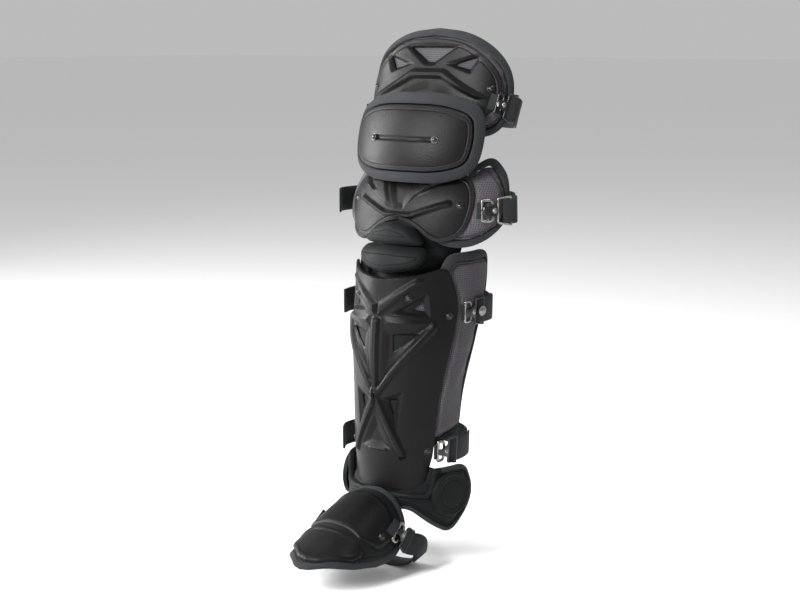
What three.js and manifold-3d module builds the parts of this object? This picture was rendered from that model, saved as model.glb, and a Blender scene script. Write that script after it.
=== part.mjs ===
// Catcher's leg guard, worn on a left leg that is left out. Millimetres, +Z up, front to -Y.
// Every plate and pad is a patch laid on a stack of leg sections: "across" runs round the
// leg from the front, "up" is the height and "lift" the distance outward.
import * as THREE from 'three';
import { mergeVertices } from 'three/addons/utils/BufferGeometryUtils.js';
import Module from 'manifold-3d';

const wasm = await Module();
wasm.setup();

// Driving sizes
const SHELL = 3;            // thickness of the moulded plates
const CLEAR = 0.3;          // gap kept between neighbouring pieces
const THIGH_PAD = 13;       // pad thicknesses
const CAP_PAD = 9;
const KNEE_PAD = 11;
const FLEX_PAD = 9;
const SHIN_PAD = 12;
const ANKLE_PAD = 7;
const ANKLE_BINDING = 5;
const ANKLE_WAIST = 54;     // where the front of the ankle pad meets its wings, round the leg
const DISC = 25;            // radius of the discs on the ankle wings
const DISC_ACROSS = 74;     // how far round the leg they sit
const FOOT_PAD = 4;
const FOOT_SHELL = 2.6;
const BINDING = 8;          // visible width of the edge binding
const CAP_BINDING = 12;     // the same round the knee cap
const STRAP_WIDTH = 28;     // elastic webbing
const FOOT_STRAP_WIDTH = 25;
const STRAP = 2.4;          // thickness of the webbing
const WIRE = 1.7;           // radius of the ring wire
const RING_HALF = 13;       // half height of the D ring
const RIVET = 4.2;          // radius of a rivet head
const RIVET_LIFT = 0.6;     // its base over the curved plate
const ACROSS_STEP = 24;     // facet width round the leg
const BIND_CLEAR = 0.6;     // gap between a pad and its binding
const FAIRING = 0.12;       // largest shift when near-flat facets are joined after a cut

// Leg sections, one row per height: middle of the section, half width to the side, reach to
// the front and to the back, and how square the section is.
const row = (up, y, half, front, back, power) => ({ up, y, half, front, back, power });
const THIGH = {
  girth: 92,
  rows: [
    row(182, 82, 102, 75, 78, 3), row(205, 88, 103, 75, 78, 3),
    row(255, 102, 105, 75, 72, 3), row(312, 117, 102, 75, 66, 3),
  ],
};
const CAP = {
  girth: 95,
  rows: [
    row(134, 56, 110, 80, 80, 2), row(160, 54, 110, 81, 80, 2), row(186, 57, 110, 80, 80, 2),
    row(215, 67, 110, 80, 80, 2), row(240, 84, 110, 80, 80, 2),
  ],
};
const KNEE = {
  girth: 90,
  rows: [
    row(60, 31, 104, 62, 72, 2), row(90, 36, 107, 66, 74, 2), row(120, 43, 108, 66, 74, 2),
    row(150, 63, 106, 66, 74, 2), row(170, 76, 104, 66, 74, 2),
  ],
};
const FLEX = {
  girth: 60,
  rows: [
    row(28, 8, 69, 65, 60, 2), row(50, 7, 70, 61, 60, 2), row(64, 9, 71, 57, 60, 2),
    row(72, 10, 71, 57, 60, 2), row(88, 16, 72, 60, 60, 2), row(110, 22, 72, 60, 60, 2),
  ],
};
const SHIN = {
  girth: 76,
  rows: [
    row(-215, -14, 56, 51, 66, 2), row(-165, -8, 60, 61, 62, 2.1), row(-100, -3, 66, 66, 66, 2),
    row(-40, 10, 73, 79, 72, 2), row(18, 25, 77, 88, 74, 2), row(66, 28, 78, 86, 72, 2),
  ],
};
const ANKLE = {
  girth: 66,
  rows: [
    row(-270, 15, 74, 76, 50, 2.5), row(-208, 12, 75, 78, 50, 2.5), row(-150, 8, 73, 75, 50, 2.5),
  ],
};
// Black panel behind the flex pieces and between the knee wings and the shin pad
const GUSSET = {
  girth: 62,
  rows: [
    row(14, 25, 54.5, 69, 60, 2), row(50, 29, 57, 67, 60, 2), row(75, 34, 63, 57, 60, 2),
    row(100, 38, 68, 45, 60, 2),
  ],
};
// Foot sections stand across the foot; "up" counts from the toe back towards the ankle and
// the reach to the front is the height of the instep over the rim.
const footRow = (up, z, half, front, power) => (
  { up, y: up, z, half, front, back: 12, power, level: true });
const FOOT = {
  girth: 44,
  step: 16,
  rows: [
    footRow(-202, -272, 38, 11, 2.2), footRow(-190, -274, 43, 17, 2.2),
    footRow(-162, -277, 48, 34, 2.3), footRow(-136, -278, 50, 50, 2.4),
    footRow(-92, -280, 52, 71, 2.4), footRow(-66, -281, 53, 80, 2.4),
  ],
};

// Section values at one height, blended between the rows
function sectionAt(limb, up) {
  const { rows } = limb;
  let low = 0;
  while (low < rows.length - 2 && up > rows[low + 1].up) {
    low += 1;
  }
  const a = rows[low];
  const b = rows[low + 1];
  const share = THREE.MathUtils.clamp((up - a.up) / (b.up - a.up), -0.6, 1.6);
  const mix = (key) => THREE.MathUtils.lerp(a[key], b[key], share);
  return {
    y: mix('y'), z: a.level ? mix('z') : up, half: mix('half'), front: mix('front'),
    back: mix('back'), power: mix('power'), level: a.level,
  };
}

// Place function of a limb: (across, up, lift) to a point in space
function onLimb(limb) {
  return (across, up, lift = 0) => {
    const s = sectionAt(limb, up);
    const turn = across / limb.girth;
    const side = Math.sin(turn);
    const ahead = Math.cos(turn);
    const reach = ahead >= 0 ? s.front : s.back;
    const size = (Math.abs(side) / s.half) ** s.power + (Math.abs(ahead) / reach) ** s.power;
    const radius = size ** (-1 / s.power);
    const x = side * radius;
    const f = ahead * radius;
    const nx = Math.sign(x) * (Math.abs(x) / s.half) ** (s.power - 1) / s.half;
    const nf = Math.sign(f) * (Math.abs(f) / reach) ** (s.power - 1) / reach;
    const scale = lift / Math.hypot(nx, nf);
    const outX = x + nx * scale;
    const outF = f + nf * scale;
    return s.level
      ? new THREE.Vector3(outX, s.y, s.z + outF)
      : new THREE.Vector3(outX, s.y - outF, s.z);
  };
}

// Place function of a flat plane at one spot of another place function. It is tangent there
// unless it is rolled in itself or its right end turned in towards the limb.
function onFlat(place, across, up, lift, roll = 0, turn = 0) {
  const step = 2;
  const origin = place(across, up, lift);
  const ay = place(across, up + step, lift).sub(place(across, up - step, lift)).normalize();
  const ax = place(across + step, up, lift).sub(place(across - step, up, lift)).normalize()
    .applyAxisAngle(ay, turn);
  const az = new THREE.Vector3().crossVectors(ax, ay).normalize();
  const by = new THREE.Vector3().crossVectors(az, ax);
  const rightward = ax.clone().multiplyScalar(Math.cos(roll)).addScaledVector(by, Math.sin(roll));
  const upward = by.clone().multiplyScalar(Math.cos(roll)).addScaledVector(ax, -Math.sin(roll));
  return (u, v, w = 0) => origin.clone()
    .addScaledVector(rightward, u).addScaledVector(upward, v).addScaledVector(az, w);
}

const flex = onLimb(FLEX);
const ankle = onLimb(ANKLE);

// Outline corners: across, up and how much of the corner is rounded off
const corner = (across, up, round = 0) => ({ across, up, round });

// The right half of a symmetric outline, listed from bottom to top, with its mirror image
function bothSides(half) {
  const left = half.filter((c) => Math.abs(c.across) > 1e-6)
    .map((c) => corner(-c.across, c.up, c.round)).reverse();
  return [...half, ...left];
}

// Closed outline with rounded corners and no edge longer than the given length
function outlineOf(corners, longest, arcSteps = 3) {
  const points = [];
  const count = corners.length;
  const at = (i) => new THREE.Vector2(corners[(i + count) % count].across,
    corners[(i + count) % count].up);
  for (let i = 0; i < count; i += 1) {
    const here = at(i);
    const before = at(i - 1).sub(here);
    const after = at(i + 1).sub(here);
    const { round } = corners[i];
    if (round <= 0) {
      points.push(here);
    } else {
      const start = here.clone().addScaledVector(before.clone().normalize(),
        Math.min(round, before.length() * 0.48));
      const end = here.clone().addScaledVector(after.clone().normalize(),
        Math.min(round, after.length() * 0.48));
      for (let k = 0; k <= arcSteps; k += 1) {
        const t = k / arcSteps;
        points.push(new THREE.Vector2(
          (1 - t) ** 2 * start.x + 2 * t * (1 - t) * here.x + t * t * end.x,
          (1 - t) ** 2 * start.y + 2 * t * (1 - t) * here.y + t * t * end.y));
      }
    }
  }
  const result = [];
  points.forEach((p, i) => {
    const next = points[(i + 1) % points.length];
    const pieces = Math.max(1, Math.ceil(p.distanceTo(next) / longest));
    for (let k = 0; k < pieces; k += 1) {
      const q = p.clone().lerp(next, k / pieces);
      if (!result.length || q.distanceTo(result[result.length - 1]) > 0.5) {
        result.push(q);
      }
    }
  });
  return THREE.ShapeUtils.area(result) < 0 ? result.reverse() : result;
}

// The same outline with its points at least so far apart, so that it can be moved inward
function spaced(outline, shortest) {
  const result = outline.map((p) => p.clone());
  const gapAfter = (i) => result[i].distanceTo(result[(i + 1) % result.length]);
  for (;;) {
    const gaps = result.map((_, i) => gapAfter(i));
    const least = gaps.indexOf(Math.min(...gaps));
    if (gaps[least] >= shortest) {
      return result;
    }
    const next = (least + 1) % result.length;
    result[least].lerp(result[next], 0.5);
    result.splice(next, 1);
  }
}

// An outline moved inward (or outward with a negative distance)
function inset(outline, distance) {
  const count = outline.length;
  return outline.map((p, i) => {
    const before = outline[(i + count - 1) % count];
    const after = outline[(i + 1) % count];
    const a = p.clone().sub(before).normalize();
    const b = after.clone().sub(p).normalize();
    const normal = new THREE.Vector2(-(a.y + b.y), a.x + b.x).normalize();
    const lean = Math.max(0.6, normal.x * -b.y + normal.y * b.x);
    return p.clone().addScaledVector(normal, distance / lean);
  });
}

function circleOutline(radius, count) {
  return Array.from({ length: count }, (_, i) => {
    const turn = 2 * Math.PI * i / count;
    return new THREE.Vector2(radius * Math.cos(turn), radius * Math.sin(turn));
  });
}

function geometryFrom(points, faces) {
  const geometry = new THREE.BufferGeometry();
  const positions = points.flatMap((p) => [p.x, p.y, p.z]);
  geometry.setAttribute('position', new THREE.Float32BufferAttribute(positions, 3));
  geometry.setIndex(faces.flat());
  return geometry;
}

// Solid patch inside an outline. The rings are shares of the outline drawn in towards the
// middle line; outer and inner give the lift of the two faces at each share, and each face
// closes with a fan round its middle point.
function patch(place, outline, { outer, inner, rings = [1, 0.66, 0.33], middle }) {
  const count = outline.length;
  const centre = outline.reduce((sum, p) => sum.add(p), new THREE.Vector2())
    .divideScalar(count);
  const midLine = middle || (() => centre.y);
  const points = [];
  [outer, inner].forEach((lift) => {
    rings.forEach((k) => outline.forEach((p) => {
      const x = centre.x + (p.x - centre.x) * k;
      points.push(place(x, midLine(x) + (p.y - midLine(p.x)) * k, lift(k)));
    }));
    points.push(place(centre.x, midLine(centre.x), lift(0)));
  });
  const under = rings.length * count + 1;
  const faces = [];
  const ringFaces = (a, b, c, d) => faces.push([a, b, d], [a, d, c],
    [under + a, under + d, under + b], [under + a, under + c, under + d]);
  for (let i = 0; i < count; i += 1) {
    const j = (i + 1) % count;
    for (let ring = 0; ring < rings.length - 1; ring += 1) {
      ringFaces(ring * count + i, ring * count + j, (ring + 1) * count + i,
        (ring + 1) * count + j);
    }
    const last = (rings.length - 1) * count;
    faces.push([last + i, last + j, under - 1],
      [under + last + i, under + under - 1, under + last + j]);
    faces.push([i, under + i, j], [j, under + i, under + j]);
  }
  return geometryFrom(points, faces);
}

// Slab over a stretch of the limb, split only at the section rows and at even steps across,
// so that layers on the same limb have parallel facets
function sheet(limb, across, low, high, top, bottom) {
  const place = onLimb(limb);
  const step = limb.step || ACROSS_STEP;
  const columns = Math.ceil(across / step);
  const xs = Array.from({ length: 2 * columns + 1 }, (_, i) => (i - columns) * step);
  const ups = limb.rows.map((r) => r.up);
  const first = Math.max(...ups.filter((up) => up < low));
  const last = Math.min(...ups.filter((up) => up > high));
  const ys = ups.filter((up) => up >= first && up <= last);
  const points = [];
  [top, bottom].forEach((lift) => ys.forEach((up) => xs.forEach((x) => {
    points.push(place(x, up, lift));
  })));
  const wide = xs.length;
  const layer = wide * ys.length;
  const faces = [];
  for (let v = 0; v < ys.length - 1; v += 1) {
    for (let u = 0; u < wide - 1; u += 1) {
      const a = v * wide + u;
      const b = a + 1;
      const c = a + wide;
      const d = c + 1;
      faces.push([a, b, d], [a, d, c], [layer + a, layer + d, layer + b],
        [layer + a, layer + c, layer + d]);
    }
  }
  const edge = [];
  for (let u = 0; u < wide - 1; u += 1) {
    edge.push(u);
  }
  for (let v = 0; v < ys.length - 1; v += 1) {
    edge.push(v * wide + wide - 1);
  }
  for (let u = wide - 1; u > 0; u -= 1) {
    edge.push((ys.length - 1) * wide + u);
  }
  for (let v = ys.length - 1; v > 0; v -= 1) {
    edge.push(v * wide);
  }
  edge.forEach((i, k) => {
    const j = edge[(k + 1) % edge.length];
    faces.push([i, layer + i, j], [j, layer + i, layer + j]);
  });
  return geometryFrom(points, faces);
}

// How far the facets of a sheet lie under the true surface at one spot
function facetDrop(limb, across, up) {
  const place = onLimb(limb);
  const step = limb.step || ACROSS_STEP;
  const low = Math.floor(across / step) * step;
  const ups = limb.rows.map((r) => r.up);
  const under = Math.max(...ups.filter((u) => u <= up));
  const over = Math.min(...ups.filter((u) => u > up));
  const s = (across - low) / step;
  const t = (up - under) / (over - under);
  const start = place(low, under);
  const end = place(low + step, over);
  const side = s > t ? place(low + step, under) : place(low, over);
  const facet = s > t
    ? start.clone().addScaledVector(side.clone().sub(start), s)
      .addScaledVector(end.sub(side), t)
    : start.clone().addScaledVector(side.clone().sub(start), t)
      .addScaledVector(end.sub(side), s);
  const outside = place(across, up, 1).sub(place(across, up));
  return place(across, up).sub(facet).dot(outside);
}

// The slab that covers an outline
function slabUnder(limb, outline, top, bottom) {
  const across = Math.max(...outline.map((p) => Math.abs(p.x))) + 1;
  const ups = outline.map((p) => p.y);
  return sheet(limb, across, Math.min(...ups), Math.max(...ups), top, bottom);
}

// The part of an outline to one side of a line straight up, kept where side * across is more
// than side * limit
function clipped(outline, limit, side) {
  return outline.flatMap((p, i) => {
    const q = outline[(i + 1) % outline.length];
    const inP = side * p.x >= side * limit;
    const inQ = side * q.x >= side * limit;
    const crossing = inP === inQ ? [] : [p.clone().lerp(q, (limit - p.x) / (q.x - p.x))];
    return [...(inP ? [p] : []), ...crossing];
  });
}

// Layer of a limb trimmed to an outline. An outline with a narrow waist is trimmed in three
// overlapping parts, the middle and the two sides from the waist outward.
function layer(limb, outline, top, bottom, waist = 0) {
  const parts = waist ? [
    clipped(outline, waist, 1), clipped(outline, -waist, -1),
    clipped(clipped(outline, waist + 1, -1), -waist - 1, 1),
  ] : [outline];
  const trims = parts.map((part) => toSolid(patch(onLimb(limb), part, {
    outer: () => top + 4, inner: () => bottom - 4,
    rings: [1, 0.88, 0.76, 0.64, 0.52, 0.4, 0.28, 0.14],
  })));
  const trim = trims.reduce((all, part) => all.add(part));
  return fromSolid(toSolid(slabUnder(limb, outline, top, bottom)).intersect(trim));
}

// Closed rim along an outline: the profile lists inset and lift, turning from the outer
// edge over the top to the inner edge
function rim(place, outline, profile) {
  const loops = profile.map(([distance, lift]) => (
    inset(outline, distance).map((p) => place(p.x, p.y, lift))));
  const count = outline.length;
  const faces = [];
  loops.forEach((_, k) => {
    const next = (k + 1) % loops.length;
    for (let i = 0; i < count; i += 1) {
      const j = (i + 1) % count;
      const a = k * count + i;
      const b = k * count + j;
      const c = next * count + i;
      const d = next * count + j;
      faces.push([a, b, d], [a, d, c]);
    }
  });
  return geometryFrom(loops.flat(), faces);
}

// Flat band through a row of stations, each with a middle, a width direction and a face
// direction; closed at both ends
function band(stations, width, thickness) {
  const points = [];
  stations.forEach(({ middle, wide, face }) => {
    [[1, 1], [-1, 1], [-1, -1], [1, -1]].forEach(([w, t]) => points.push(middle.clone()
      .addScaledVector(wide, w * width / 2).addScaledVector(face, t * thickness / 2)));
  });
  const faces = [];
  for (let i = 0; i < stations.length - 1; i += 1) {
    for (let k = 0; k < 4; k += 1) {
      const a = i * 4 + k;
      const b = i * 4 + (k + 1) % 4;
      faces.push([a, b, b + 4], [a, b + 4, a + 4]);
    }
  }
  const end = (stations.length - 1) * 4;
  faces.push([0, 2, 1], [0, 3, 2], [end, end + 1, end + 2], [end, end + 2, end + 3]);
  return geometryFrom(points, faces);
}

function volumeOf(geometry) {
  const p = geometry.attributes.position;
  const index = geometry.index.array;
  let sum = 0;
  const v = [new THREE.Vector3(), new THREE.Vector3(), new THREE.Vector3()];
  for (let i = 0; i < index.length; i += 3) {
    v.forEach((corner3, k) => corner3.fromBufferAttribute(p, index[i + k]));
    sum += v[0].dot(v[1].clone().cross(v[2])) / 6;
  }
  return sum;
}

// The same surface with its faces turned outward
function outward(geometry) {
  if (volumeOf(geometry) < 0) {
    const { array } = geometry.index;
    for (let i = 0; i < array.length; i += 3) {
      [array[i + 1], array[i + 2]] = [array[i + 2], array[i + 1]];
    }
  }
  return geometry;
}

function toSolid(geometry) {
  const clean = geometry.clone();
  clean.deleteAttribute('normal');
  clean.deleteAttribute('uv');
  const welded = outward(mergeVertices(clean, 1e-3));
  return new wasm.Manifold(new wasm.Mesh({
    numProp: 3,
    vertProperties: new Float32Array(welded.attributes.position.array),
    triVerts: new Uint32Array(welded.index.array),
  }));
}

function fromSolid(solid) {
  const mesh = solid.asOriginal().simplify(FAIRING).getMesh();
  const geometry = new THREE.BufferGeometry();
  geometry.setAttribute('position', new THREE.Float32BufferAttribute(mesh.vertProperties, 3));
  geometry.setIndex(Array.from(mesh.triVerts));
  return geometry;
}

// A body with other shapes joined on and cut out
function carved(body, added, removed) {
  let solid = toSolid(body);
  added.forEach((shape) => {
    solid = solid.add(toSolid(shape));
  });
  removed.forEach((shape) => {
    solid = solid.subtract(toSolid(shape));
  });
  return fromSolid(solid);
}

// The largest separate body of a shape
function mainBody(geometry) {
  const bodies = toSolid(geometry).decompose();
  bodies.sort((a, b) => b.volume() - a.volume());
  return fromSolid(bodies[0]);
}

// Materials
const material = (name, color, roughness, metalness = 0) => {
  const made = new THREE.MeshStandardMaterial({ color, roughness, metalness });
  made.name = name;
  return made;
};
const shellPlastic = material('shell_plastic', 0x1d1b1d, 0.38);
const meshFabric = material('mesh_fabric', 0x6f6c70, 0.92);
const bindingTape = material('binding_tape', 0x47484a, 0.9);
const softBlack = material('soft_black', 0x1e1f20, 0.8);
const webbing = material('webbing', 0x3a3b3d, 0.85);
const nickel = material('nickel_steel', 0xa9a9ab, 0.28, 1);
const blackMetal = material('black_metal', 0x202022, 0.4, 0.9);

const guard = new THREE.Group();
guard.name = 'leg_guard';

function put(name, geometry, surface) {
  const clean = geometry.clone();
  clean.deleteAttribute('normal');
  clean.deleteAttribute('uv');
  const shape = outward(mergeVertices(clean, 1e-3)).toNonIndexed();
  shape.computeVertexNormals();
  const mesh = new THREE.Mesh(shape, surface);
  mesh.name = name;
  guard.add(mesh);
}

// Edge binding: a rounded tape over the edge of a pad
const bindingProfile = (width, top, bottom) => [
  [0, (top + bottom) / 2], [2.2, top], [width, top], [width, bottom], [2.2, bottom],
];

// Cutter that takes the edge off a pad, one clearance further in than the binding reaches
const edgeCutter = (width, top, bottom) => [
  [0, (top + bottom) / 2], [2, top + 4], ...[top + 4, top, bottom, bottom - 4].map((lift) => (
    [width + BIND_CLEAR, lift])), [2, bottom - 4],
];

// A pad with its edge binding: the pad stops one clearance short of the tape
function boundPad(name, limb, outline, top, bottom, fabric, bindTop, bindBottom,
  width = BINDING) {
  const place = onLimb(limb);
  const filling = layer(limb, inset(outline, width * 0.8), top, bottom);
  const edge = rim(place, outline, edgeCutter(width, bindTop, bindBottom));
  put(`${name}_pad`, mainBody(carved(filling, [], [edge])), fabric);
  put(`${name}_binding`, rim(place, outline, bindingProfile(width, bindTop, bindBottom)), bindingTape);
}

// Cutters through a plate or down to a floor below its face, and raised ribs
const cutThrough = (limb, corners) => patch(onLimb(limb), outlineOf(corners, 20, 1), {
  outer: () => 9, inner: () => -SHELL - 3, rings: [1, 0.5],
});
function cutDown(limb, corners, depth) {
  const floor = slabUnder(limb, outlineOf(corners, 90), -depth, -SHELL - 8);
  return carved(cutThrough(limb, corners), [], [floor]);
}
const raise = (limb, corners, height, middle) => (
  patch(onLimb(limb), outlineOf(corners, 26, 1), {
    outer: (k) => (k > 0.99 ? 0.9 : height), inner: () => -1.4, rings: [1, 0.5], middle,
  }));

// A moulded plate with its ribs and cuts; its back stays parallel to the pad under it
function plate(limb, outline, ribs, cuts) {
  const behind = slabUnder(limb, outline, -SHELL, -SHELL - 8);
  return carved(layer(limb, outline, 0, -SHELL), ribs, [...cuts, behind]);
}

// Thigh guard
const thighOutline = spaced(outlineOf(bothSides([
  corner(0, 194), corner(94, 186, 22), corner(114, 208, 14), corner(111, 252, 30),
  corner(88, 284, 34), corner(50, 304, 30), corner(0, 308),
]), 46, 2), 7);
boundPad('thigh', THIGH, thighOutline, -SHELL - CLEAR, -SHELL - CLEAR - THIGH_PAD, meshFabric,
  -2, -17);
const thighShellOutline = outlineOf(bothSides([
  corner(0, 206), corner(76, 208, 12), corner(97, 222, 12), corner(95, 250, 16),
  corner(80, 271, 18), corner(50, 293, 30), corner(0, 297),
]), 50, 2);
const thighCuts = [
  [corner(-42, 287), corner(-7, 268), corner(7, 268), corner(42, 287)],
  [corner(26, 269), corner(60, 259), corner(71, 270), corner(68, 279)],
  [corner(-26, 269), corner(-60, 259), corner(-71, 270), corner(-68, 279)],
];
const thighRib = bothSides([
  corner(0, 253), corner(24, 253), corner(70, 233), corner(79, 235), corner(28, 262),
  corner(0, 262),
]);
const thighRidge = (x) => 257.5 - 0.48 * Math.max(0, Math.abs(x) - 26);
put('thigh_shell', plate(THIGH, thighShellOutline, [raise(THIGH, thighRib, 3.2, thighRidge)],
  thighCuts.map((c) => cutThrough(THIGH, c))), shellPlastic);

// Knee cap
const capOutline = spaced(outlineOf(bothSides([
  corner(0, 137), corner(58, 137, 30), corner(98, 149, 30), corner(108, 185, 34),
  corner(100, 222, 34), corner(56, 236, 40), corner(0, 237),
]), 44, 2), 7);
boundPad('knee_cap', CAP, capOutline, -SHELL - CLEAR, -SHELL - CLEAR - CAP_PAD, softBlack,
  -0.6, -13.6, CAP_BINDING);
const capSlot = [corner(-40, 183), corner(40, 183), corner(40, 189), corner(-40, 189)];
put('knee_cap_shell', plate(CAP, inset(capOutline, CAP_BINDING + 1.6), [],
  [cutDown(CAP, capSlot, 1.6)]), shellPlastic);

// Lower knee plate over its wide wing pad
const kneeOutline = spaced(outlineOf(bothSides([
  corner(0, 92), corner(38, 84, 10), corner(76, 66, 22), corner(112, 68, 26),
  corner(149, 98, 24), corner(141, 128, 14), corner(126, 150, 14), corner(104, 168, 12),
  corner(84, 153, 16), corner(0, 149),
]), 44, 2), 7);
boundPad('lower_knee', KNEE, kneeOutline, -SHELL - CLEAR, -SHELL - CLEAR - KNEE_PAD, meshFabric,
  -5, -15.5);
const kneeShellOutline = outlineOf(bothSides([
  corner(0, 96), corner(28, 91, 14), corner(66, 70, 18), corner(94, 80, 16),
  corner(104, 120, 20), corner(88, 147, 16), corner(0, 147),
]), 46, 2);
const kneeCuts = [
  [corner(30, 128), corner(60, 136), corner(78, 142), corner(44, 132)],
  [corner(-78, 142), corner(-60, 136), corner(-30, 128), corner(-44, 132)],
];
const kneePocket = [corner(-7, 108), corner(7, 108), corner(27, 139), corner(-27, 139)];
const kneeRib = bothSides([
  corner(0, 98), corner(24, 98), corner(76, 116), corner(24, 105), corner(0, 105),
]);
const kneeRidge = (x) => 101.5 + 0.28 * Math.max(0, Math.abs(x) - 24);
put('lower_knee_shell', plate(KNEE, kneeShellOutline, [raise(KNEE, kneeRib, 2.6, kneeRidge)],
  [...kneeCuts.map((c) => cutThrough(KNEE, c)), cutDown(KNEE, kneePocket, 1.8)]), shellPlastic);

// Soft flex bellows between knee and shin, over a thin panel
const bulge = (height, depth) => ({
  outer: (k) => height * (1 - k ** 3) - 3,
  inner: () => -depth,
  rings: [1, 0.84, 0.5],
});
put('flex_upper', patch(flex, outlineOf(bothSides([
  corner(0, 69.5), corner(44, 69.5, 6), corner(43, 75, 6), corner(24, 90.4, 10), corner(0, 94.9),
]), 30, 2), bulge(3, FLEX_PAD + 6)), softBlack);
put('flex_lower', patch(flex, outlineOf(bothSides([
  corner(0, 37), corner(38, 43, 12), corner(50, 54, 8), corner(48, 67, 10), corner(0, 68.7),
]), 30, 2), bulge(5, FLEX_PAD)), softBlack);
put('flex_panel', layer(GUSSET, outlineOf(bothSides([
  corner(0, 20), corner(82, 24), corner(80, 88, 16), corner(40, 90, 10), corner(0, 90),
]), 50, 2), 0, -3), softBlack);

// Shin plate with pierced and sunk facets over the shin pad
const shinOutline = spaced(outlineOf(bothSides([
  corner(0, -196), corner(66, -190, 10), corner(88, -158, 20), corner(160, -148, 18),
  corner(146, 61, 16), corner(76, 60, 12), corner(62, 34, 16), corner(0, 25),
]), 60, 2), 7);
boundPad('shin', SHIN, shinOutline, -SHELL - CLEAR, -SHELL - CLEAR - SHIN_PAD, meshFabric,
  -5, -16.5);
const shinShellOutline = outlineOf(bothSides([
  corner(0, -209), corner(60, -208, 10), corner(79, -202, 10), corner(87, -170), corner(93, -10, 30),
  corner(82, 24, 20), corner(70, 47, 8), corner(40, 38, 14), corner(0, 33),
]), 50, 2);
// One side of the facets: pierced ones and sunk ones
const facetRows = [
  { sunk: false, points: [[34, 12], [54, 6], [50, -8], [44, -2]] },
  { sunk: true, points: [[9, -24], [9, -78], [60, -18]] },
  { sunk: false, points: [[24, -29], [27, -44], [50, -27]] },
  { sunk: false, points: [[6, -103], [12, -103], [34, -138], [24, -140]] },
];
const shinCuts = [1, -1].flatMap((side) => facetRows.map(({ sunk, points }) => {
  const corners = points.map(([across, up]) => corner(side * across, up));
  return sunk ? cutDown(SHIN, corners, 1.6) : cutThrough(SHIN, corners);
}));
const shinArrow = [corner(-26, -156), corner(-20, -163), corner(20, -163), corner(26, -156),
  corner(3, -126), corner(-3, -126)];
const shinVee = bothSides([corner(0, -5), corner(6, -5), corner(44, 37), corner(31, 35),
  corner(0, 5)]);
const veeRidge = (x) => 0.8 * Math.abs(x);
const shinSpine = [corner(0, -96), corner(5, -90), corner(5, -16), corner(0, -11),
  corner(-5, -16), corner(-5, -90)];
put('shin_shell', plate(SHIN, shinShellOutline,
  [raise(SHIN, shinVee, 2.4, veeRidge), raise(SHIN, shinSpine, 3)],
  [...shinCuts, cutDown(SHIN, shinArrow, 1.8)]), shellPlastic);

// Ankle pad with its two round side wings
const ankleOutline = spaced(outlineOf(bothSides([
  corner(0, -229), corner(34, -229, 6), corner(56, -249, 10), corner(73, -260, 14),
  corner(101, -231, 14), corner(108, -210, 14), corner(98, -181, 10), corner(57, -181, 5),
  corner(52, -209.6, 4), corner(0, -209.6),
]), 44, 2), 5.5);
put('ankle_pad', layer(ANKLE, inset(ankleOutline, ANKLE_BINDING + 2 * BIND_CLEAR), -0.6,
  -ANKLE_PAD, ANKLE_WAIST), softBlack);
put('ankle_binding', rim(ankle, ankleOutline, [
  [0, -ANKLE_PAD / 2], [1.5, 1], [ANKLE_BINDING, 1],
  [ANKLE_BINDING, -ANKLE_PAD - 0.6], [1.5, -ANKLE_PAD - 0.6],
]), bindingTape);

// Round moulded discs on the wings
[['left', -1], ['right', 1]].forEach(([side, sign]) => {
  const spot = onFlat(ankle, sign * DISC_ACROSS, -212, 0.1);
  put(`ankle_disc_${side}`, patch(spot, circleOutline(DISC, 16), {
    outer: (k) => (k > 0.99 ? 0.8 : 3.4),
    inner: () => 0,
    rings: [1, 0.86],
  }), softBlack);
});

// Foot cover, its wide edge binding and its two plates
const footOutline = spaced(outlineOf(bothSides([
  corner(0, -200), corner(34, -197, 10), corner(60, -170, 18), corner(67, -126),
  corner(66, -92, 22), corner(40, -68, 12), corner(0, -66.8),
]), 40, 2), 7);
boundPad('foot', FOOT, footOutline, -FOOT_SHELL - 2 * CLEAR, -FOOT_SHELL - CLEAR - FOOT_PAD,
  softBlack, -FOOT_SHELL - 1.4, -FOOT_SHELL - CLEAR - FOOT_PAD - 0.8);
const instepOutline = outlineOf(bothSides([
  corner(0, -140), corner(34, -140), corner(50, -124, 6), corner(46, -98, 10),
  corner(24, -88, 8), corner(0, -86),
]), 40, 2);
put('instep_plate', layer(FOOT, instepOutline, 0, -FOOT_SHELL), shellPlastic);
const toeOutline = outlineOf(bothSides([
  corner(0, -190), corner(30, -187, 4), corner(52, -164, 8), corner(50, -145, 6),
  corner(0, -145),
]), 40, 2);
put('toe_plate', layer(FOOT, toeOutline, 0, -FOOT_SHELL), shellPlastic);

// Rivets: domed heads on the plates
const rivetRows = [
  ['thigh', THIGH, 85, 241], ['cap', CAP, 50, 186], ['knee', KNEE, 88, 114],
  ['shin_top', SHIN, 33, 13], ['shin_mid', SHIN, 79, -8],
  ['shin_low', SHIN, 77, -162], ['instep', FOOT, 40, -114],
];
rivetRows.forEach(([name, limb, across, up]) => {
  [['left', -1], ['right', 1]].forEach(([side, sign]) => {
    const seat = RIVET_LIFT - facetDrop(limb, sign * across, up);
    const spot = onFlat(onLimb(limb), sign * across, up, seat);
    put(`rivet_${name}_${side}`, patch(spot, circleOutline(RIVET, 7), {
      outer: (k) => (k > 0.99 ? 0.7 : 1.9), inner: () => 0, rings: [1],
    }), blackMetal);
  });
});

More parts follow.
